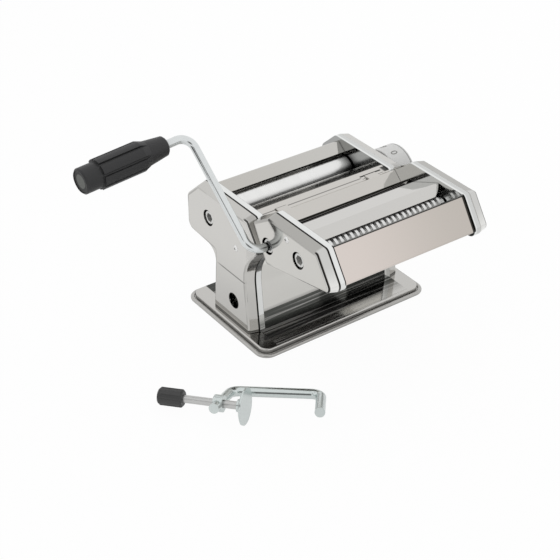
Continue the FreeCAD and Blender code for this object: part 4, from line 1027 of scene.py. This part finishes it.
class PASTA_OT_dial_figures(bpy.types.Operator):
    """Figures 0 to 9 printed around the thickness knob"""

    bl_idname = "pasta.dial_figures"
    bl_label = "Dial figures"

    def execute(self, context):
        dial = context.scene.pasta_dial
        low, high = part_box("regulator_knob")
        centre = (low + high) / 2
        radius = (high.z - low.z) / 2
        place = Matrix.Translation((high.x - dial.from_end, centre.y, centre.z))
        top_outwards = Matrix.Rotation(-math.pi / 2, 4, "Z")
        ring = bmesh.new()
        for figure in range(FIGURES):
            words = bpy.data.curves.new("figure", "FONT")
            words.body = str(figure)
            words.size = dial.height
            words.align_x = "CENTER"
            words.align_y = "CENTER"
            words.extrude = dial.depth
            holder = bpy.data.objects.new("figure", words)
            context.scene.collection.objects.link(holder)
            flat = bpy.data.meshes.new_from_object(holder.evaluated_get(context.evaluated_depsgraph_get()))
            bpy.data.objects.remove(holder)
            bpy.data.curves.remove(words)
            turn = Matrix.Rotation(dial.start + figure * math.tau / FIGURES, 4, "X")
            flat.transform(place @ turn @ Matrix.Translation((0, 0, radius)) @ top_outwards)
            ring.from_mesh(flat)
            bpy.data.meshes.remove(flat)
        bmesh.ops.recalc_face_normals(ring, faces=ring.faces)
        figures = add_object("dial_figures", ring, moulded("figure_paint", dial.tint, roughness=0.5))
        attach(figures, "knob")
        return {"FINISHED"}


class PASTA_OT_clamp(bpy.types.Operator):
    """Loose table clamp"""

    bl_idname = "pasta.clamp"
    bl_label = "Table clamp"

    def execute(self, context):
        chrome = plain_metal("clamp_chrome", tint=(0.66, 0.71, 0.70), roughness=0.1, grain=200.0)
        dress(chrome, "clamp_frame", "clamp_pad")
        dress(plain_metal("screw_steel", tint=(0.62, 0.62, 0.61), roughness=0.3, grain=300.0), "clamp_screw")
        dress(moulded("clamp_black", tint=(0.040, 0.040, 0.040), roughness=0.35), "clamp_knob")
        return {"FINISHED"}


def white_paper():
    """White for the camera and in reflections, but still a floor that takes the shadow."""
    paper = bpy.data.materials.new("white_paper")
    shader = Shader(paper)
    seen = shader.node("ShaderNodeLightPath", output="Is Camera Ray")
    shiny = shader.node("ShaderNodeLightPath", output="Is Glossy Ray")
    card = shader.node("ShaderNodeBsdfDiffuse", None, {"Color": colour(PAPER_TINT)})
    glow = shader.node("ShaderNodeEmission", None, {"Color": colour(WHITE), "Strength": 1.0})
    share = PAPER_SEEN * seen + PAPER_MIRRORED * shiny
    both = shader.node("ShaderNodeMixShader", None, {0: share, 1: card, 2: glow})
    shader.node("ShaderNodeOutputMaterial", None, {"Surface": both})
    return paper


def studio(stage):
    """White surroundings with two dark spots, which only shiny pieces show."""
    world = bpy.data.worlds.new("studio")
    sky = Shader(world)
    seen = sky.node("ShaderNodeLightPath", output="Is Camera Ray")
    shiny = sky.node("ShaderNodeLightPath", output="Is Glossy Ray")
    way = sky.node("ShaderNodeTexCoord", output="Generated")

    def spot(side, core, reach):
        """1 within the core angle of a side, fading out at the reach angle."""
        facing = sky.vector_math("DOT_PRODUCT", way, side, output="Value")
        return sky.rise(facing, math.cos(reach), math.cos(core))

    dark = spot(stage.dark_side, stage.dark_core, stage.dark_reach)
    streak = spot(stage.streak_side, stage.streak_core, stage.streak_reach)
    mirrored = SKY_MIRRORED - DARK_DEPTH * dark - STREAK_DEPTH * streak
    strength = SKY_LIGHT + SKY_SEEN * seen + shiny * mirrored
    light = sky.node("ShaderNodeBackground", None, {"Color": colour(WHITE), "Strength": strength})
    sky.node("ShaderNodeOutputWorld", None, {"Surface": light})
    return world


def soft_lamp(name, way, power):
    """Square lamp the given way from the machine, left out of reflections."""
    lamp = bpy.data.lights.new(name, "AREA")
    lamp.size = LAMP_SIDE
    lamp.energy = power
    holder = bpy.data.objects.new(name, lamp)
    holder.location = MACHINE_MIDDLE + LAMP_DISTANCE * way
    holder.rotation_euler = (-way).to_track_quat("-Z", "Y").to_euler()
    holder.visible_glossy = False
    bpy.context.scene.collection.objects.link(holder)


def view_camera(stage):
    """Camera at its place, looking along its azimuth and down by its elevation."""
    lens = bpy.data.cameras.new("camera")
    lens.sensor_width = SENSOR_WIDTH
    lens.lens = stage.focal_share * lens.sensor_width
    camera = bpy.data.objects.new("camera", lens)
    camera.location = stage.place
    across = math.cos(stage.elevation)
    ahead = Vector((
        math.sin(stage.azimuth) * across,
        math.cos(stage.azimuth) * across,
        -math.sin(stage.elevation),
    ))
    camera.rotation_euler = ahead.to_track_quat("-Z", "Y").to_euler()
    bpy.context.scene.collection.objects.link(camera)
    return camera


class PASTA_OT_stage(bpy.types.Operator):
    """Floor, lights, white surroundings and the camera"""

    bl_idname = "pasta.stage"
    bl_label = "Stage"

    def execute(self, context):
        scene = context.scene
        stage = scene.pasta_stage
        shape = bmesh.new()
        bmesh.ops.create_grid(shape, x_segments=1, y_segments=1, size=stage.floor_half)
        floor = add_object("floor", shape, white_paper())
        scene.world = studio(stage)
        soft_lamp("key", KEY_WAY, stage.key_power)
        soft_lamp("fill", FILL_WAY, stage.fill_power)
        scene.camera = view_camera(stage)
        scene.view_settings.view_transform = "Standard"
        return {"FINISHED"}


class PASTA_PT_panel(bpy.types.Panel):
    """Lists the steps that dress the machine"""

    bl_idname = "PASTA_PT_panel"
    bl_label = "Pasta machine"
    bl_space_type = "VIEW_3D"
    bl_region_type = "UI"
    bl_category = "Pasta machine"

    def draw(self, context):
        for step in STEPS:
            self.layout.operator(step.bl_idname)


SETTINGS = {
    "pasta_sheet": SheetSettings,
    "pasta_spring": SpringSettings,
    "pasta_dial": DialSettings,
    "pasta_handles": HandleSettings,
    "pasta_stage": StageSettings,
}
STEPS = [
    PASTA_OT_sheet_metal,
    PASTA_OT_fasteners,
    PASTA_OT_rollers,
    PASTA_OT_handles,
    PASTA_OT_spring,
    PASTA_OT_dial_figures,
    PASTA_OT_clamp,
    PASTA_OT_stage,
]


def register():
    for kind in [*SETTINGS.values(), *STEPS, PASTA_PT_panel]:
        bpy.utils.register_class(kind)
    for name, kind in SETTINGS.items():
        setattr(bpy.types.Scene, name, bpy.props.PointerProperty(type=kind))


def unregister():
    for name in SETTINGS:
        delattr(bpy.types.Scene, name)
    for kind in reversed([*SETTINGS.values(), *STEPS, PASTA_PT_panel]):
        bpy.utils.unregister_class(kind)


def main():
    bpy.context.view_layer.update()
    register()
    bpy.ops.pasta.sheet_metal()
    bpy.ops.pasta.fasteners()
    bpy.ops.pasta.rollers()
    bpy.ops.pasta.handles()
    bpy.ops.pasta.spring()
    bpy.ops.pasta.dial_figures()
    bpy.ops.pasta.clamp()
    bpy.ops.pasta.stage()


if __name__ == "__main__":
    main()
